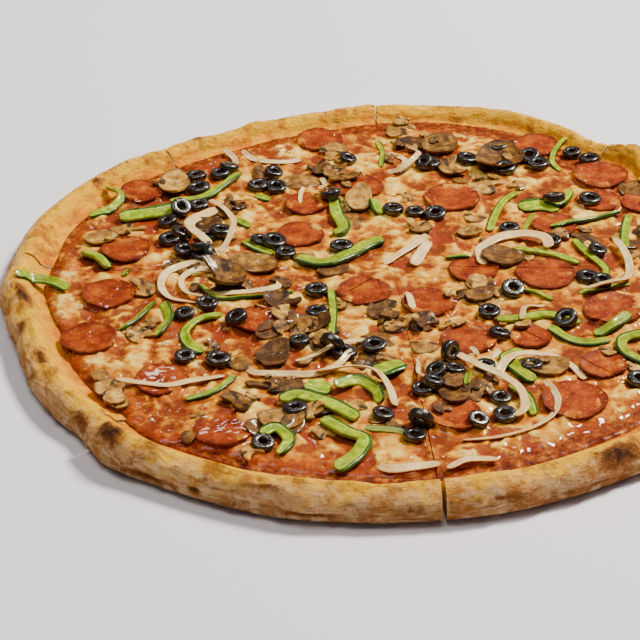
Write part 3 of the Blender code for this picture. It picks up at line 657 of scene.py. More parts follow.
def sausage_finish():
    sausage = Finish("cured_sausage", Specular_IOR_Level=0.12, Coat_Weight=0.4, Coat_Roughness=0.06)
    sausage.lay(sausage.ramp(
        sausage.patches(9, 5, 0.6),
        (0.30, (0.12, 0.009, 0.001)), (0.45, (0.23, 0.027, 0.001)), (0.58, (0.34, 0.056, 0.001)),
        (0.74, (0.54, 0.15, 0.003)),
    ))
    rind = sausage.sum(sausage.own("outward"), sausage.uneven(0.14, 6))
    sausage.lay((0.11, 0.010, 0.003), sausage.span(rind, 0.78, 1.00, 0, 0.85))
    fat = sausage.span(sausage.cells(3.4), 0.26, 0.14)
    sausage.lay((0.72, 0.26, 0.05), fat, 0.35)
    sausage.bump(sausage.patches(3.0, 4, 0.55), 0.7)
    return sausage.wear(0.38, 0.58)


def wrapped(columns, count, start=0):
    """Faces of a round solid, each of whose columns runs over its top, its edge and its underside."""
    faces = []
    for column in range(columns):
        a, b = start + column * count, start + (column + 1) % columns * count
        faces += [(a + i, b + i, b + i + 1, a + i + 1) for i in range(count - 1)]
    return faces


def sausage_slice(number):
    """Places, faces and outward shares of one slice with its curled edge."""
    centre, radius, bottom = DISCS[number]
    draw = random.Random(number)
    phase, curl = draw.uniform(0, 6.3), draw.uniform(0.5, 1.5)
    places, outward = [], []
    rows = [i / PEPPERONI_RINGS for i in range(PEPPERONI_RINGS + 1)]
    section = [(share, 1) for share in rows] + [(1.012, 0.5)] + [(share, 0) for share in reversed(rows)]
    for side in range(PEPPERONI_SIDES):
        turn = 2 * math.pi * side / PEPPERONI_SIDES
        wobble = 1 + 0.03 * math.sin(3 * turn + phase) + 0.018 * math.sin(5 * turn + 2 * phase)
        wobble += 0.012 * math.sin(11 * turn + phase)
        lift = curl * (0.55 + 0.45 * math.sin(2 * turn + phase) + 0.25 * math.sin(5 * turn))
        for share, level in section:
            out = radius * wobble * share
            dished = lift * share ** 5 - 0.25 * (1 - share ** 2)
            x, y = centre.x + out * math.cos(turn), centre.y + out * math.sin(turn)
            ripple = 0.16 * noise.noise((x / 4, y / 4, number)) * level
            meat = level * PEPPERONI_THICKNESS * (1 - 0.15 * share ** 8)
            places.append((x, y, bottom + 0.25 + dished + meat + ripple))
            outward.append(share)
    return places, wrapped(PEPPERONI_SIDES, len(section)), outward


def cut_in_two(places, faces, outward, centre):
    """The same slice in two halves with a narrow gap between them, along the cut nearest to its centre."""
    out = centre - CUT_CROSSING
    cuts = [Vector((math.cos(math.radians(angle)), math.sin(math.radians(angle)))) for angle in CUT_ANGLES]
    towards = max(cuts, key=out.dot)
    aside = Vector((-towards.y, towards.x, 0))
    new_places, new_faces, new_outward = [], [], []
    for side in (-1, 1):
        mesh = bmesh.new()
        share = mesh.verts.layers.float.new("outward")
        made = [mesh.verts.new(place) for place in places]
        for vert, value in zip(made, outward):
            vert[share] = value
        for face in faces:
            mesh.faces.new([made[i] for i in face])
        bmesh.ops.remove_doubles(mesh, verts=mesh.verts, dist=1e-4)
        middle = CUT_CROSSING.to_3d() + side * DISC_GAP / 2 * aside
        whole = mesh.verts[:] + mesh.edges[:] + mesh.faces[:]
        kept = side * aside
        cut = bmesh.ops.bisect_plane(mesh, geom=whole, plane_co=middle, plane_no=kept, clear_inner=True)
        rim = [edge for edge in cut["geom_cut"] if isinstance(edge, bmesh.types.BMEdge)]
        bmesh.ops.contextual_create(mesh, geom=rim)
        mesh.verts.index_update()
        new_faces += [tuple(len(new_places) + vert.index for vert in face.verts) for face in mesh.faces]
        new_outward += [vert[share] for vert in mesh.verts]
        new_places += [tuple(vert.co) for vert in mesh.verts]
        mesh.free()
    return new_places, new_faces, new_outward


cured_sausage = sausage_finish()
names = [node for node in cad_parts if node.startswith("pepperoni_")]
all_places, all_faces, all_outward = [], [], []
for number in range(len(DISCS)):
    places, faces, outward = sausage_slice(number)
    if number + 1 in CUT_DISCS:
        places, faces, outward = cut_in_two(places, faces, outward, DISCS[number][0])
    all_faces += [tuple(len(all_places) + i for i in face) for face in faces]
    all_places += places
    all_outward += outward
piece_of("sausage_slices", all_places, all_faces, cured_sausage, {"outward": all_outward}, names)


def cover(x, y, radius, top):
    """Raises the ground to this height round a place, for what is laid there next."""
    i, j, reach = int(x - GROUND_LOW), int(y - GROUND_LOW), int(radius) + 2
    window = (slice(i - reach, i + reach + 1), slice(j - reach, j + reach + 1))
    within = np.hypot(ground_x[window] - x, ground_y[window] - y) <= radius
    ground[window] = np.where(within, np.maximum(ground[window], top), ground[window])


for centre, radius, bottom in DISCS:
    cover(centre.x, centre.y, radius, bottom + PEPPERONI_THICKNESS + 0.3)

# The mushrooms: button mushrooms, sliced from cap to stem and baked until they shrank and went taupe.
# A slice is pale flesh with a tan skin round the cap and dark gills under it.
MUSHROOM_THICKNESS = 2.0
MUSHROOM_LARGER = 1.3
HEAP_TOP = 13.0
WHOLE_SLICE = (
    (0.00, 0.48), (0.26, 0.42), (0.44, 0.22), (0.50, -0.02), (0.40, -0.12), (0.22, -0.10),
    (0.15, -0.24), (0.17, -0.42), (0.00, -0.50), (-0.17, -0.42), (-0.15, -0.24), (-0.22, -0.10),
    (-0.40, -0.12), (-0.50, -0.02), (-0.44, 0.22), (-0.26, 0.42), (0.00, 0.48),
)
CAP_SLICE = (
    (0.00, 0.28), (0.25, 0.23), (0.43, 0.06), (0.50, -0.17), (0.42, -0.37), (0.25, -0.27), (0.10, -0.20),
    (0.00, -0.22), (-0.10, -0.20), (-0.25, -0.27), (-0.42, -0.37), (-0.50, -0.17), (-0.43, 0.06),
    (-0.25, 0.23), (0.00, 0.28),
)
CHUNK = (
    (0.00, 0.50), (0.30, 0.42), (0.50, 0.15), (0.42, -0.20), (0.20, -0.46), (-0.12, -0.50),
    (-0.38, -0.30), (-0.50, 0.00), (-0.34, 0.30), (0.00, 0.50),
)
SCRAPS = 130
SCRAP_SIZES = (6.0, 13.0)
SCRAP_SPREAD = 15.0
MUSHROOM_STEPS = 3
MUSHROOM_RINGS = (0.0, 0.3, 0.55, 0.78, 0.93, 1.0)
STEEPEST = 0.45
TIPPED = 0.08

# Each slice or scrap: place, length, width, direction of the length in degrees
MUSHROOMS = (
    (-175, 60, 18, 12, 10), (-160, 74, 18, 12, 0), (-143, 0, 18, 14, 20), (-134, 131, 24, 15, 80),
    (-111, 72, 22, 15, 75), (-93, 8, 30, 24, 10), (-78, 27, 24, 14, -30), (-97, 100, 24, 11, 85),
    (-73, 146, 20, 12, 80), (-50, 136, 24, 14, 10), (-28, 176, 18, 15, 70), (-30, 152, 18, 12, 60),
    (-12, 106, 20, 13, 80), (-16, 84, 20, 13, 85), (28, 190, 22, 17, 75), (46, 186, 24, 18, 60),
    (20, 214, 18, 15, 10), (50, 150, 20, 17, 20), (85, 162, 32, 24, 60), (73, 130, 22, 17, 20),
    (62, 84, 20, 11, 65), (75, 32, 22, 18, 20), (-60, -18, 18, 12, -10), (-60, -34, 20, 15, 30),
    (-44, -44, 20, 13, -20), (0, -29, 16, 15, -40), (20, -43, 16, 13, 0),
    (-3, -61, 26, 17, 10), (-10, -82, 24, 14, 0), (-36, -64, 22, 14, -50), (-65, -76, 22, 14, 70),
    (-63, -107, 26, 9, 0), (-82, -125, 16, 14, 30), (-60, -142, 20, 14, 0), (-20, -127, 22, 12, 80),
    (-145, -50, 20, 10, -50), (36, -116, 24, 13, 80), (50, -114, 18, 13, 70),
    (64, -19, 24, 15, -20), (90, -91, 20, 14, 10), (22, -66, 16, 12, 80), (127, -76, 20, 8, 80),
    (170, 120, 20, 14, 40), (168, 60, 22, 14, 70), (182, -40, 22, 13, 20),
    (-155, -107, 13, 10, 0), (5, -43, 16, 12, 30), (-35, -50, 14, 12, 70), (-20, 135, 16, 10, 0),
    (128, 55, 12, 14, 60), (20, 112, 12, 9, 10), (100, 105, 13, 10, 40), (-120, 25, 15, 11, 60),
    (60, -5, 15, 11, 100), (-30, 20, 16, 11, 20), (25, 70, 15, 11, 130), (-60, 5, 13, 10, 50),
)


def mushroom_finish():
    mushroom = Finish("baked_mushroom", Specular_IOR_Level=0.15, Coat_Weight=0.3, Coat_Roughness=0.10,
                      Subsurface_Weight=0.08, Subsurface_Scale=0.002)
    mushroom.lay(mushroom.ramp(
        mushroom.sum(mushroom.patches(6, 5, 0.65), mushroom.own("paleness")),
        (0.26, (0.055, 0.020, 0.004)), (0.42, (0.17, 0.068, 0.010)), (0.58, (0.40, 0.19, 0.028)),
        (0.76, (0.74, 0.45, 0.10)),
    ))
    mushroom.lay((0.075, 0.032, 0.012), mushroom.span(mushroom.own("skin"), 0.4, 0.95, 0, 0.75))
    gills = mushroom.sum(mushroom.own("gills"), mushroom.uneven(0.3, 2.5))
    mushroom.lay((0.014, 0.008, 0.005), mushroom.span(gills, 0.4, 0.8, 0, 0.92))
    mushroom.bump(mushroom.patches(1.8, 4, 0.6), 0.9)
    return mushroom.wear(0.38, 0.60)


def lie_on(x, y, reach, draw):
    """Height and slopes of a plane that rests on the ground round a place, tipped a little at random."""
    turns = np.radians(np.arange(0, 360, 30))
    at_x = np.concatenate([[x], x + reach * np.cos(turns), x + 0.5 * reach * np.cos(turns)])
    at_y = np.concatenate([[y], y + reach * np.sin(turns), y + 0.5 * reach * np.sin(turns)])
    high = sample(ground, at_x, at_y)
    table = np.stack([at_x - x, at_y - y, np.ones(len(high))], 1)
    *slopes, level = np.linalg.lstsq(table, high, rcond=None)[0]
    proud = np.percentile(high - table @ (*slopes, level), 80)
    slopes = [min(STEEPEST, max(-STEEPEST, slope)) + draw.uniform(-TIPPED, TIPPED) for slope in slopes]
    return level + proud, *slopes


baked_mushroom = mushroom_finish()
shapes = [through(drawn, MUSHROOM_STEPS)[:-1] for drawn in (CHUNK, WHOLE_SLICE, CAP_SLICE)]
rows = [(ring, 1) for ring in MUSHROOM_RINGS] + [(ring, -1) for ring in reversed(MUSHROOM_RINGS)]
pieces = [(x, y, MUSHROOM_LARGER * length, MUSHROOM_LARGER * width, degrees)
          for x, y, length, width, degrees in MUSHROOMS]
draw = random.Random(50)
for _ in range(SCRAPS):
    x, y, length, width, degrees = draw.choice(MUSHROOMS)
    across = draw.uniform(*SCRAP_SIZES)
    away = Vector((draw.gauss(0, SCRAP_SPREAD), draw.gauss(0, SCRAP_SPREAD)))
    pieces.append((x + away.x, y + away.y, across * draw.uniform(1.0, 1.6), across, draw.uniform(0, 360)))
all_places, all_faces = [], []
fields = {"paleness": [], "skin": [], "gills": []}
for number, (x, y, length, width, degrees) in enumerate(pieces):
    draw = random.Random(100 + number)
    shape = shapes[number % len(shapes)]
    centre = inside_rim(x, y, width / 2)
    level, slope_x, slope_y = lie_on(centre.x, centre.y, 0.4 * (length + width) / 2, draw)
    level = min(level, HEAP_TOP)
    turn = math.radians(degrees + draw.choice((0, 180)))
    curl, pale = draw.uniform(-0.012, 0.028), draw.uniform(-0.22, 0.15)
    thick = min(MUSHROOM_THICKNESS, 0.5 * width) * draw.uniform(0.7, 1.3)
    warp = draw.uniform(0, 9)
    start = len(all_places)
    for across, along in shape:
        bend = 1 + 0.16 * noise.noise((3 * across, 3 * along, warp))
        for ring, side in rows:
            u, v = across * ring * bend, along * ring * bend
            local_x, local_y = v * length, u * width * 1.1
            place_x = centre.x + local_x * math.cos(turn) - local_y * math.sin(turn)
            place_y = centre.y + local_x * math.sin(turn) + local_y * math.cos(turn)
            flat = level + slope_x * (place_x - centre.x) + slope_y * (place_y - centre.y)
            under = float(sample(ground, place_x, place_y))
            lying = max(0.8 * flat + 0.2 * under, under - 1.2)
            dome = curl * (local_x ** 2 + local_y ** 2)
            puffed = thick / 2 * (1 - ring ** 12 * 0.35) * side
            uneven = 0.5 * noise.noise((place_x / 4, place_y / 4, warp)) * (side > 0)
            all_places.append((place_x, place_y, lying + thick / 2 - 0.6 + dome + puffed + uneven))
            fields["paleness"].append(pale)
            fields["skin"].append(smooth_step(ring, 0.75, 1.0) * (along > -0.05))
            below_cap = math.exp(-(((v + 0.02) / 0.09) ** 2)) * smooth_step(abs(u), 0.10, 0.17)
            fields["gills"].append(below_cap * (number % 3 != 0))
    all_faces += wrapped(len(shape), len(rows), start)
    cover(centre.x, centre.y, 0.36 * (length + width) / 2, level + thick - 0.9)
piece_of("mushroom_slices", all_places, all_faces, baked_mushroom, fields)

# The green pepper: walls of sweet pepper cut across into strips, baked until they went limp. One side
# of a strip is glossy dark skin, and the rest is pale green flesh. One strip lies over the rim.
PEPPER_STRIPS = (
    (6, (-137, -17), (-145, -33), (-155, -47)),
    (7, (-131, -20), (-127, -36), (-133, -54)),
    (7, (-96, -33), (-110, -38), (-117, -52), (-112, -67), (-105, -72)),
    (5, (-110, 2), (-100, -14), (-80, -12), (-54, -6)),
    (5, (-86, -97), (-97, -112), (-112, -120)),
    (9, (-60, -124), (-50, -119), (-32, -128), (-18, -141)),
    (7, (-30, -112), (-18, -103), (-8, -112), (-5, -125)),
    (13, (-46, -106), (-33, -114)),
    (7, (-70, -156), (-62, -150), (-55, -160), (-60, -172)),
    (9, (-37, -142), (-26, -152), (-15, -160), (-19, -174), (-30, -187)),
    (15, (-6, -96), (9, -86)),
    (5, (-31, -4), (-30, -30), (-31, -56)),
    (9, (-28, 108), (-26, 88), (-22, 70), (-27, 60)),
    (8, (-3, 104), (1, 88)),
    (9, (-52, 30), (-35, 25), (-20, 35), (-8, 48), (2, 55)),
    (10, (-166, 86), (-146, 92), (-126, 97)),
    (6, (-178, 128), (-167, 112), (-175, 97), (-186, 90)),
    (9, (-185, 43), (-175, 35), (-168, 24)),
    (7, (-135, 108), (-115, 113), (-102, 128), (-91, 145)),
    (6, (-86, 55), (-76, 45), (-67, 38)),
    (4, (136, 202), (128, 183), (120, 162), (124, 148)),
    (4, (3, 195), (6, 175), (4, 155)),
    (6, (92, 118), (82, 103), (75, 85), (70, 66)),
    (13, (92, 96), (106, 99), (118, 96)),
    (6, (109, 66), (122, 72), (140, 80), (156, 88)),
    (7, (84, 42), (96, 38), (110, 33), (122, 26)),
    (5, (122, 52), (129, 36), (137, 20), (136, 4)),
    (6, (161, 84), (155, 60), (152, 40)),
    (5, (78, -3), (92, -10), (101, -18)),
    (7, (66, -42), (80, -40), (96, -36), (108, -40), (113, -47)),
    (6, (95, -52), (105, -62), (118, -66), (129, -64)),
    (7, (144, -40), (132, -52), (121, -58)),
    (7, (156, -60), (138, -63), (135, -78), (148, -89)),
    (8, (76, -74), (67, -83), (74, -97), (81, -106)),
    (6, (68, -108), (76, -122), (78, -138)),
    (6, (176, 132), (180, 112), (172, 96)),
    (7, (188, 20), (178, 2), (182, -16)),
    (6, (200, 60), (205, 42), (200, 30)),
    (6, (168, -92), (158, -100), (146, -98)),
    (5, (-158, 15), (-156, 22)),
    (5, (-80, 115), (-70, 110)),
    (6, (-92, 82), (-82, 72)),
    (5, (40, 31), (55, 30)),
    (6, (128, 118), (122, 102), (115, 95)),
    (5, (45, -100), (43, -112)),
    (4, (-14, -148), (0, -150), (8, -153)),
    (4, (100, 88), (95, 75), (90, 62)),
    (4, (118, -10), (135, -3), (150, 0)),
)
RIM_STRIP_WIDTH = 7
RIM_STRIP_THICKNESS = 0.36
RIM_STRIP = ((-221, 2), (-212, 8), (-200, 5), (-190, -4))
RIM_STRIP_SLICE = 3
RIM_STRIP_PROUD = 0.7
RIM_STRIP_TILT = 0.35
RIM_UPPER_ROWS = 7
SHARP_STRIP = 60
STRIP_STEP = 1.3
STRIP_TILT = 0.5
STRIP_COVERS = 0.42
WALL_TILT = 0.15
PEPPER_SINK = 0.9
END_SHARES = (0.55, 0.82, 0.95)
SECTION_POINTS = 16
PEPPER_THICKNESS = 0.62
PEPPER_HOLLOW = 0.75
PEPPER_EASE = 4
WALL_THICKNESS = 0.28
BROAD = 10


def pepper_finish():
    pepper = Finish("green_pepper", Specular_IOR_Level=0.15, Coat_Weight=0.45, Coat_Roughness=0.06,
                    Subsurface_Weight=0.12, Subsurface_Scale=0.002)
    pepper.lay(pepper.ramp(
        pepper.patches(5, 4, 0.6),
        (0.32, (0.13, 0.22, 0.002)), (0.50, (0.28, 0.40, 0.004)), (0.68, (0.55, 0.64, 0.03)),
    ))
    older = pepper.span(pepper.patches(45, 2), 0.45, 0.62)
    pepper.lay((0.16, 0.16, 0.006), older, 0.55)
    toasted = pepper.span(pepper.patches(5, 4, 0.7), 0.62, 0.75)
    pepper.lay((0.24, 0.12, 0.012), toasted, 0.4)
    across = pepper.sum(pepper.times(pepper.own("height"), 0.55), pepper.times(pepper.own("side"), 1.1))
    across = pepper.sum(across, pepper.uneven(0.06, 9, 3))
    pepper.lay((0.62, 0.72, 0.12), pepper.span(across, -0.08, 0.04), 0.55)
    skin = pepper.ramp(pepper.patches(12, 3), (0.38, (0.016, 0.050, 0.003)), (0.62, (0.050, 0.135, 0.006)))
    pepper.lay(skin, pepper.span(across, 0.04, 0.12))
    pepper.bump(pepper.patches(2.0, 3), 0.35)
    return pepper.wear(0.15, 0.38, 6)


class Maker(Nodes):
    """A tree that makes pieces from a source and named numbers, as real meshes that wear the given finish."""

    def __init__(self, name, source, numbers):
        self.tree = bpy.data.node_groups.new(name, "GeometryNodeTree")
        kinds = {source: "Geometry", **dict.fromkeys(numbers, "Float"), "Finish": "Material"}
        for socket, kind in kinds.items():
            self.tree.interface.new_socket(socket, in_out="INPUT", socket_type=f"NodeSocket{kind}")
        self.tree.interface.new_socket("Pieces", in_out="OUTPUT", socket_type="NodeSocketGeometry")
        self.given = self.tree.nodes.new("NodeGroupInput").outputs

    def ended(self, geometry):
        """The tree, complete."""
        real = self.made("GeometryNodeRealizeInstances", "Geometry", {"Geometry": geometry})
        values = {"Geometry": real, "Material": self.given["Finish"]}
        result = self.tree.nodes.new("NodeGroupOutput")
        self.feed(result.inputs["Pieces"], self.made("GeometryNodeSetMaterial", "Geometry", values))
        return self.tree


def sweep_tree(name):
    """Sweeps a bean-shaped bar, hollow on top, along each curve, as wide as the curve's radius says."""
    bars = Maker(name, "Strips", ("Thickness", "Hollow"))
    values = {"Resolution": SECTION_POINTS, "Radius": 0.5}
    bean = bars.made("GeometryNodeCurvePrimitiveCircle", "Curve", values)
    place = bars.made("GeometryNodeInputPosition", "Position")
    side, height = (bars.made("ShaderNodeSeparateXYZ", axis, {"Vector": place}) for axis in "XY")
    for field, value in (("side", side), ("height", height)):
        values = {"Geometry": bean, "Name": field, "Value": value}
        bean = bars.made("GeometryNodeStoreNamedAttribute", "Geometry", values)
    inward = bars.sum(1.0, bars.times(4.0, bars.sum(side, 2.0, "POWER")), "SUBTRACT")
    on_top = bars.sum(height, 0.0, "LESS_THAN")
    dip = bars.times(bars.times(inward, on_top), bars.given["Hollow"])
    rise = bars.times(bars.times(height, bars.given["Thickness"]), bars.sum(1.0, dip, "SUBTRACT"))
    bent = bars.made("ShaderNodeCombineXYZ", "Vector", {"X": side, "Y": rise})
    bean = bars.made("GeometryNodeSetPosition", "Geometry", {"Geometry": bean, "Position": bent})
    share = bars.made("GeometryNodeSplineParameter", "Factor")
    values = {"Geometry": bars.given["Strips"], "Name": "along", "Value": share}
    curve = bars.made("GeometryNodeStoreNamedAttribute", "Geometry", values)
    wide = bars.made("GeometryNodeInputRadius", "Radius")
    values = {"Curve": curve, "Profile Curve": bean, "Scale": wide, "Fill Caps": True}
    return bars.ended(bars.made("GeometryNodeCurveToMesh", "Mesh", values))


def from_tree(name, source, tree, values, replaced=()):
    """The plain mesh that a tree makes of a source, as a piece of the finished pizza."""
    guide = bpy.data.objects.new(name + "_guide", source)
    bpy.context.scene.collection.objects.link(guide)
    modifier = guide.modifiers.new("tree", "NODES")
    modifier.node_group = tree
    for socket in tree.interface.items_tree:
        if socket.in_out == "INPUT" and socket.name in values:
            modifier[socket.identifier] = values[socket.name]
    made = bpy.data.meshes.new_from_object(guide.evaluated_get(bpy.context.evaluated_depsgraph_get()))
    bpy.data.objects.remove(guide)
    finished(name, made, SHARP_STRIP, replaced)


def draped(path, width, half, sink, ease):
    """Heights of a limp strip's middle over what lies on its path, eased over this many steps."""
    last, under = len(path) - 1, []
    for i, place in enumerate(path):
        ahead = path[min(i + 1, last)] - path[max(i - 1, 0)]
        side = Vector((-ahead.y, ahead.x)).normalized() * 0.35 * width
        at = [place + side * share for share in (-1, 0, 1)]
        under.append(max(sample(ground, [p.x for p in at], [p.y for p in at])))
    held = [max(under[max(0, i - ease):i + ease + 1]) for i in range(last + 1)]
    window = 2 * ease + 1
    return np.convolve(np.pad(held, ease, mode="edge"), np.ones(window) / window, "valid") - sink + half


def add_strip(curves, path, heights, width, tilt):
    """One more strip on a curve object's data, narrower at its two ends."""
    spline = curves.splines.new("POLY")
    spline.points.add(len(path) - 1)
    last = len(path) - 1
    for i, (point, place, height) in enumerate(zip(spline.points, path, heights)):
        end = min(i, last - i)
        point.co = ((place.x + DATUM.x) * MM, (place.y + DATUM.y) * MM, height * MM, 1)
        uneven = 1 + 0.12 * noise.noise((place.x / 12, place.y / 12, width))
        point.radius = width * MM * uneven * (END_SHARES[end] if end < len(END_SHARES) else 1)
        point.tilt = tilt + 0.30 * noise.noise((place.x / 25, place.y / 25, tilt))


def strip_curves(name):
    curves = bpy.data.curves.new(name, "CURVE")
    curves.dimensions = "3D"
    curves.twist_mode = "Z_UP"
    return curves


def path_through(points, step):
    """Places this far apart on a smooth curve through the points."""
    spacing = sum((Vector(b) - Vector(a)).length for a, b in zip(points, points[1:])) / (len(points) - 1)
    return through(points, max(2, round(spacing / step)))


def rim_top(piece, place):
    """Height of the rim's upper side."""
    out = place - DISC_CENTRE
    angle = math.atan2(out.y, out.x)
    share = (outline(piece, angle) - out.length) / rim_width(angle)
    height = rim_height(piece, angle)
    above = [(1.0, BASE_THICKNESS / height), *RIM_SECTION[:RIM_UPPER_ROWS]]
    for (inner, low), (outer, high) in zip(above, above[1:]):
        if outer <= share <= inner:
            return height * (low + (high - low) * (inner - share) / (inner - outer))
    return CHEESE_BOTTOM + CHEESE_THICKNESS


green_pepper = pepper_finish()
strips = sweep_tree("pepper_strips")
for name, thickness, tilt, broad in (
    ("pepper_walls", WALL_THICKNESS, WALL_TILT, True),
    ("pepper_strips", PEPPER_THICKNESS, STRIP_TILT, False),
):
    curves = strip_curves(name + "_paths")
    for number, (width, *points) in enumerate(PEPPER_STRIPS):
        if (width > BROAD) != broad:
            continue
        path = path_through(points, STRIP_STEP)
        if (path[-1] - path[0]).cross(path[len(path) // 2] - path[0]) > 0:
            path.reverse()
        draw = random.Random(200 + number)
        half = width * thickness / 2
        heights = draped(path, width, half, PEPPER_SINK, PEPPER_EASE)
        add_strip(curves, path, heights, width, draw.uniform(-tilt, tilt))
        for place, height in zip(path, heights):
            cover(place.x, place.y, STRIP_COVERS * width, height + half)
    values = {"Thickness": thickness, "Hollow": PEPPER_HOLLOW, "Finish": green_pepper}
    from_tree(name, curves, strips, values)
curves = strip_curves("rim_strip_path")
path = path_through(RIM_STRIP, STRIP_STEP)
half = RIM_STRIP_WIDTH * RIM_STRIP_THICKNESS / 2
tops = [max(rim_top(RIM_STRIP_SLICE, place), CHEESE_BOTTOM + CHEESE_THICKNESS + 1) for place in path]
heights = [top + half + RIM_STRIP_PROUD for top in tops]
eased = np.convolve(np.pad(heights, 2, mode="edge"), np.ones(5) / 5, "valid")
add_strip(curves, path, eased, RIM_STRIP_WIDTH, RIM_STRIP_TILT)
values["Thickness"] = RIM_STRIP_THICKNESS
from_tree("pepper_strip_over_the_rim", curves, strips, values, ["pepper_over_rim"])

# The olives: ripe black olives, pitted and sliced into rings, which shrivelled a little and shine.
# They lie on what is under them, some leaning and a few on edge.
OLIVE_RADIUS = 7.0
OLIVE_HOLE = 2.5
OLIVE_HEIGHT = 5.0
OLIVE_SIDES = 26
OLIVE_CORNER = 0.30
OLIVE_CORNER_STEPS = 3
OLIVES = (
    (-118, -31), (-105, -21), (-87, -41), (-115, -77), (-96, -81), (-52, -132), (-69, -163), (-40, -6),
    (-40, -32), (-4, -136), (12, -157), (47, -146), (61, -123), (62, -139), (38, -94), (55, -91),
    (27, -98), (19, -113), (81, -92), (78, -10), (62, -33), (106, -44), (83, 68), (108, 50),
    (125, 6), (-50, -63), (-24, -75), (-116, 103), (-127, 92), (-135, 80), (-132, 58), (-108, 60),
    (-122, 42), (-110, 36), (-117, 125), (-104, 146), (-74, 54), (-59, 38), (-66, 125), (-30, 108),
    (10, 93), (24, 91), (-18, 163), (37, 156), (63, 163), (85, 181), (87, 148), (110, 155),
    (137, 175), (150, 166), (178, 82), (165, 18), (172, -35), (140, -105), (205, 20),
    (66, -58), (133, 0), (135, 38), (25, -110), (-125, 62), (-100, 62), (-112, 40), (-120, 143),
    (-98, 152), (-66, 50), (-78, 128), (-68, 145), (-24, 45), (33, 153), (115, 103), (138, 100),
    (37, 88), (105, 165), (-7, -70),
)
OLIVES_ON_EDGE = ((16, -146), (36, -80), (-105, 33), (-31, -71))


def olive_finish():
    olive = Finish("black_olive", Specular_IOR_Level=0.6, Coat_Weight=0.6, Coat_Roughness=0.06)
    olive.lay(olive.ramp(
        olive.patches(3.5, 4),
        (0.40, (0.0045, 0.0035, 0.004)), (0.58, (0.014, 0.008, 0.007)), (0.72, (0.050, 0.022, 0.014)),
    ))
    olive.bump(olive.patches(2.2, 4, 0.6), 0.4)
    return olive.wear(0.14, 0.34)


def olive_tree():
    """Puts a ring with a rounded square section on each point, turned and sized as the point says."""
    rings = Maker("olive_rings", "Places", ("Hole radius", "Wall", "Height"))
    wall = rings.given["Wall"]
    middle = rings.sum(rings.times(wall, 0.5), rings.given["Hole radius"])
    values = {"Resolution": OLIVE_SIDES, "Radius": middle}
    circle = rings.made("GeometryNodeCurvePrimitiveCircle", "Curve", values)
    values = {"Width": wall, "Height": rings.given["Height"]}
    square = rings.made("GeometryNodeCurvePrimitiveQuadrilateral", "Curve", values)
    values = {"Curve": square, "Count": OLIVE_CORNER_STEPS, "Radius": rings.times(wall, OLIVE_CORNER)}
    rounded = rings.made("GeometryNodeFilletCurve", "Curve", values, mode="POLY")
    ring = rings.made("GeometryNodeCurveToMesh", "Mesh", {"Curve": circle, "Profile Curve": rounded})
    lean, size = (
        rings.made("GeometryNodeInputNamedAttribute", "Attribute", {"Name": field}, data_type="FLOAT_VECTOR")
        for field in ("lean", "size")
    )
    turned = rings.made("FunctionNodeEulerToRotation", "Rotation", {"Euler": lean})
    values = {"Points": rings.given["Places"], "Instance": ring, "Rotation": turned, "Scale": size}
    return rings.ended(rings.made("GeometryNodeInstanceOnPoints", "Instances", values))


places, leans, sizes = [], [], []
for number, (x, y) in enumerate(OLIVES + OLIVES_ON_EDGE):
    draw = random.Random(300 + number)
    place = inside_rim(x, y, OLIVE_RADIUS)
    level, slope_x, slope_y = lie_on(place.x, place.y, OLIVE_RADIUS - 1.5, draw)
    scale = draw.uniform(0.86, 1.10)
    if (x, y) in OLIVES_ON_EDGE:
        level = min(level, cheese_level(x, y))
        height, lean = level + 0.72 * OLIVE_RADIUS * scale, (draw.uniform(1.1, 1.4), 0, draw.uniform(0, 3.1))
    else:
        level = min(level, HEAP_TOP + 1.5)
        height, lean = level + scale * OLIVE_HEIGHT / 2 - 1.0, (math.atan(slope_y), -math.atan(slope_x), 0)
        cover(place.x, place.y, OLIVE_RADIUS - 0.5, level + scale * OLIVE_HEIGHT - 1.2)
    places.append((place.x, place.y, height))
    leans.append(lean)
    sizes.append((scale, scale * draw.uniform(0.88, 1.0), scale))
points = bpy.data.meshes.new("olive_places")
points.from_pydata([((x + DATUM.x) * MM, (y + DATUM.y) * MM, z * MM) for x, y, z in places], [], [])
for field, rows in (("lean", leans), ("size", sizes)):
    values = np.array(rows, float).ravel()
    points.attributes.new(field, "FLOAT_VECTOR", "POINT").data.foreach_set("vector", values)
values = {
    "Hole radius": OLIVE_HOLE * MM, "Wall": (OLIVE_RADIUS - OLIVE_HOLE) * MM, "Height": OLIVE_HEIGHT * MM,
    "Finish": olive_finish(),
}
from_tree("olive_rings", points, olive_tree(), values)

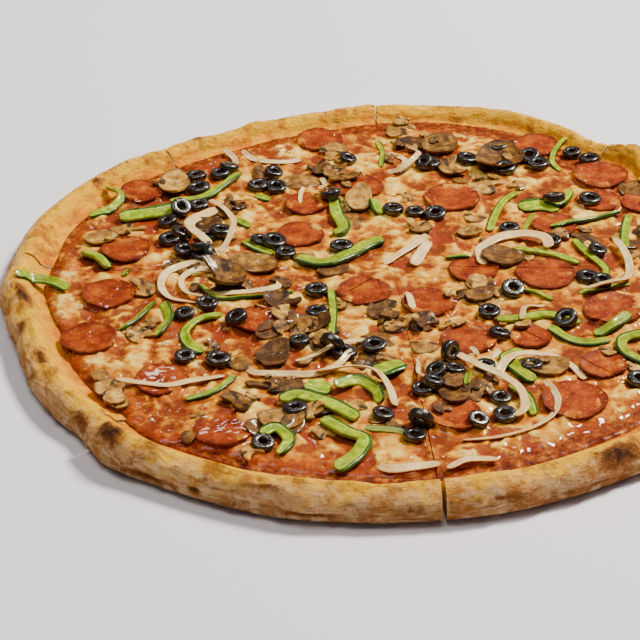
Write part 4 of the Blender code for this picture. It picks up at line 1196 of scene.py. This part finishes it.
# The onion: white onion cut across into rings that fell apart into ribbons, limp, glossy and a little
# see-through. They were strewn last, and lie over everything else.
ONION_RIBBONS = (
    (7, (-104, 94), (-116, 82), (-120, 67), (-114, 52), (-106, 38)),
    (4, (-109, 107), (-98, 90), (-92, 72), (-94, 54), (-100, 42)),
    (5, (-103, 23), (-116, 27), (-130, 17), (-134, 2), (-128, -12), (-112, -18)),
    (4, (-62, 8), (-64, -3), (-78, -8), (-100, -9)),
    (4, (-152, -101), (-135, -107), (-122, -110), (-110, -105), (-92, -96)),
    (4, (-80, -88), (-74, -96), (-60, -98), (-44, -97), (-29, -90), (-20, -76)),
    (4, (-52, -82), (-40, -78), (-26, -69), (-12, -63)),
    (5, (-40, -96), (-22, -93), (-8, -98), (0, -112), (3, -127)),
    (5, (60, -107), (66, -92), (78, -82), (92, -80), (104, -89), (110, -102)),
    (5, (40, -78), (50, -93), (62, -105), (72, -118), (73, -135), (67, -143)),
    (4, (87, -108), (92, -125), (88, -140), (75, -151), (56, -158), (38, -159)),
    (5, (28, -186), (39, -179), (55, -178)),
    (5, (-8, -182), (0, -187), (24, -182)),
    (7, (62, 20), (63, 40), (75, 54), (90, 58), (103, 50), (105, 38)),
    (5, (30, 60), (22, 48), (11, 36), (2, 26)),
    (7, (31, 52), (26, 38), (20, 24)),
    (5, (15, -13), (17, -32)),
    (5, (147, 48), (152, 25), (149, 4), (139, -5), (122, -10)),
    (4, (80, -45), (84, -29), (96, -23)),
    (4, (-90, 182), (-84, 169), (-74, 163), (-60, 163), (-50, 168)),
    (4, (-103, 183), (-96, 170), (-93, 158)),
    (4, (-36, 142), (-33, 125), (-37, 110)),
    (4, (24, 183), (30, 169), (27, 155), (18, 147), (8, 149)),
    (5, (176, 70), (186, 82), (198, 80)),
    (4, (160, -28), (174, -40), (186, -42)),
    (4, (-100, 18), (-113, 20), (-122, 8), (-118, -8), (-108, -16)),
    (4, (10, 176), (20, 166), (20, 158)),
    (3, (48, -72), (52, -80)),
    (3, (65, -72), (60, -80)),
    (3, (18, -82), (17, -100), (20, -108)),
    (3, (-48, 125), (-50, 112), (-50, 102)),
)
ONION_THICKNESS = 0.38
ONION_HOLLOW = 0.9
ONION_SINK = 0.7
ONION_EASE = 7
ONION_ARCH = 1.4


def onion_finish():
    onion = Finish("white_onion", Specular_IOR_Level=0.2, Coat_Weight=0.45, Coat_Roughness=0.08,
                   Subsurface_Weight=0.25, Subsurface_Scale=0.003)
    stripes = onion.sum(onion.times(onion.own("side"), 55.0), 0.0, "SINE")
    onion.lay(onion.ramp(
        onion.span(onion.sum(stripes, onion.uneven(0.8, 8)), -1.4, 1.4),
        (0.0, (0.55, 0.28, 0.06)), (0.4, (0.78, 0.52, 0.20)), (1.0, (0.94, 0.80, 0.48)),
    ))
    ends = onion.sum(onion.span(onion.own("along"), 0.14, 0.0), onion.span(onion.own("along"), 0.86, 1.0))
    onion.lay((0.62, 0.36, 0.10), ends, 0.7)
    oiled = onion.span(onion.patches(14, 3), 0.50, 0.68)
    onion.lay((0.72, 0.44, 0.16), oiled, 0.5)
    onion.bump(onion.patches(2.4, 3), 0.3)
    return onion.wear(0.18, 0.40, 6)


curves = strip_curves("onion_paths")
for number, (width, *points) in enumerate(ONION_RIBBONS):
    path = path_through(points, STRIP_STEP)
    draw = random.Random(400 + number)
    half = width * ONION_THICKNESS / 2
    heights = draped(path, width, half, ONION_SINK, ONION_EASE)
    heights += ONION_ARCH * np.sin(np.linspace(0, math.pi, len(path))) ** 2 * draw.uniform(0.2, 1.0)
    add_strip(curves, path, heights, width, draw.uniform(-STRIP_TILT, STRIP_TILT))
    for place, height in zip(path, heights):
        cover(place.x, place.y, STRIP_COVERS * width, height + half)
values = {"Thickness": ONION_THICKNESS, "Hollow": ONION_HOLLOW, "Finish": onion_finish()}
from_tree("onion_ribbons", curves, sweep_tree("onion_ribbons"), values)

# The camera stands where the photograph was taken from, and looks down on the pizza from the front.
# Soft light comes from behind on the right and from above, with a weak lamp behind for the gloss. The
# floor is plain and pale.
CAMERA_PLACE = Vector((-37.9, -981.6, 601.0))
CAMERA_PITCH = math.radians(32.1)
CAMERA_ROLL = math.radians(-0.55)
CAMERA_FOCUS_PIXELS = 1893.0
PICTURE_PIXELS = 640

turned = Matrix.Rotation(math.pi / 2 - CAMERA_PITCH, 4, "X") @ Matrix.Rotation(CAMERA_ROLL, 4, "Z")
lens = bpy.data.cameras.new("camera")
lens.sensor_width = 36.0
lens.lens = lens.sensor_width * CAMERA_FOCUS_PIXELS / PICTURE_PIXELS
camera = bpy.data.objects.new("camera", lens)
camera.matrix_world = Matrix.Translation((CAMERA_PLACE + Vector((DATUM.x, DATUM.y, 0))) * MM) @ turned
bpy.context.scene.collection.objects.link(camera)
bpy.context.scene.camera = camera


def softbox(name, place, size, watts, colour):
    """A square light this many metres wide that faces the pizza."""
    data = bpy.data.lights.new(name, "AREA")
    data.size = size
    data.energy = watts
    data.color = colour
    made = bpy.data.objects.new(name, data)
    made.location = place
    made.rotation_euler = (-Vector(place)).to_track_quat("-Z", "Y").to_euler()
    bpy.context.scene.collection.objects.link(made)


softbox("window", (1.2, 0.8, 1.8), 0.5, 118, (1.0, 0.93, 0.80))
softbox("back_lamp", (-0.3, 1.9, 1.5), 0.14, 2.2, (1.0, 0.93, 0.82))
softbox("ceiling", (-0.5, -0.2, 2.2), 1.2, 23, (1.0, 0.93, 0.84))
surroundings = bpy.data.worlds.new("surroundings")
surroundings.use_nodes = True
sky = surroundings.node_tree.nodes["Background"].inputs
sky["Color"].default_value = (0.90, 0.87, 0.89, 1)
sky["Strength"].default_value = 0.13
bpy.context.scene.world = surroundings

paper = Finish("pale_paper", Roughness=0.9)
paper.lay(paper.ramp(paper.patches(900, 1), (0.3, (0.80, 0.785, 0.88)), (0.7, (0.82, 0.805, 0.90))))
floor_mesh = bpy.data.meshes.new("floor")
floor_mesh.from_pydata([(-6, -6, 0), (6, -6, 0), (6, 6, 0), (-6, 6, 0)], [], [(0, 1, 2, 3)])
floor_mesh.materials.append(paper.material)
floor = bpy.data.objects.new("floor", floor_mesh)
floor.location.z = -0.0003
bpy.context.scene.collection.objects.link(floor)
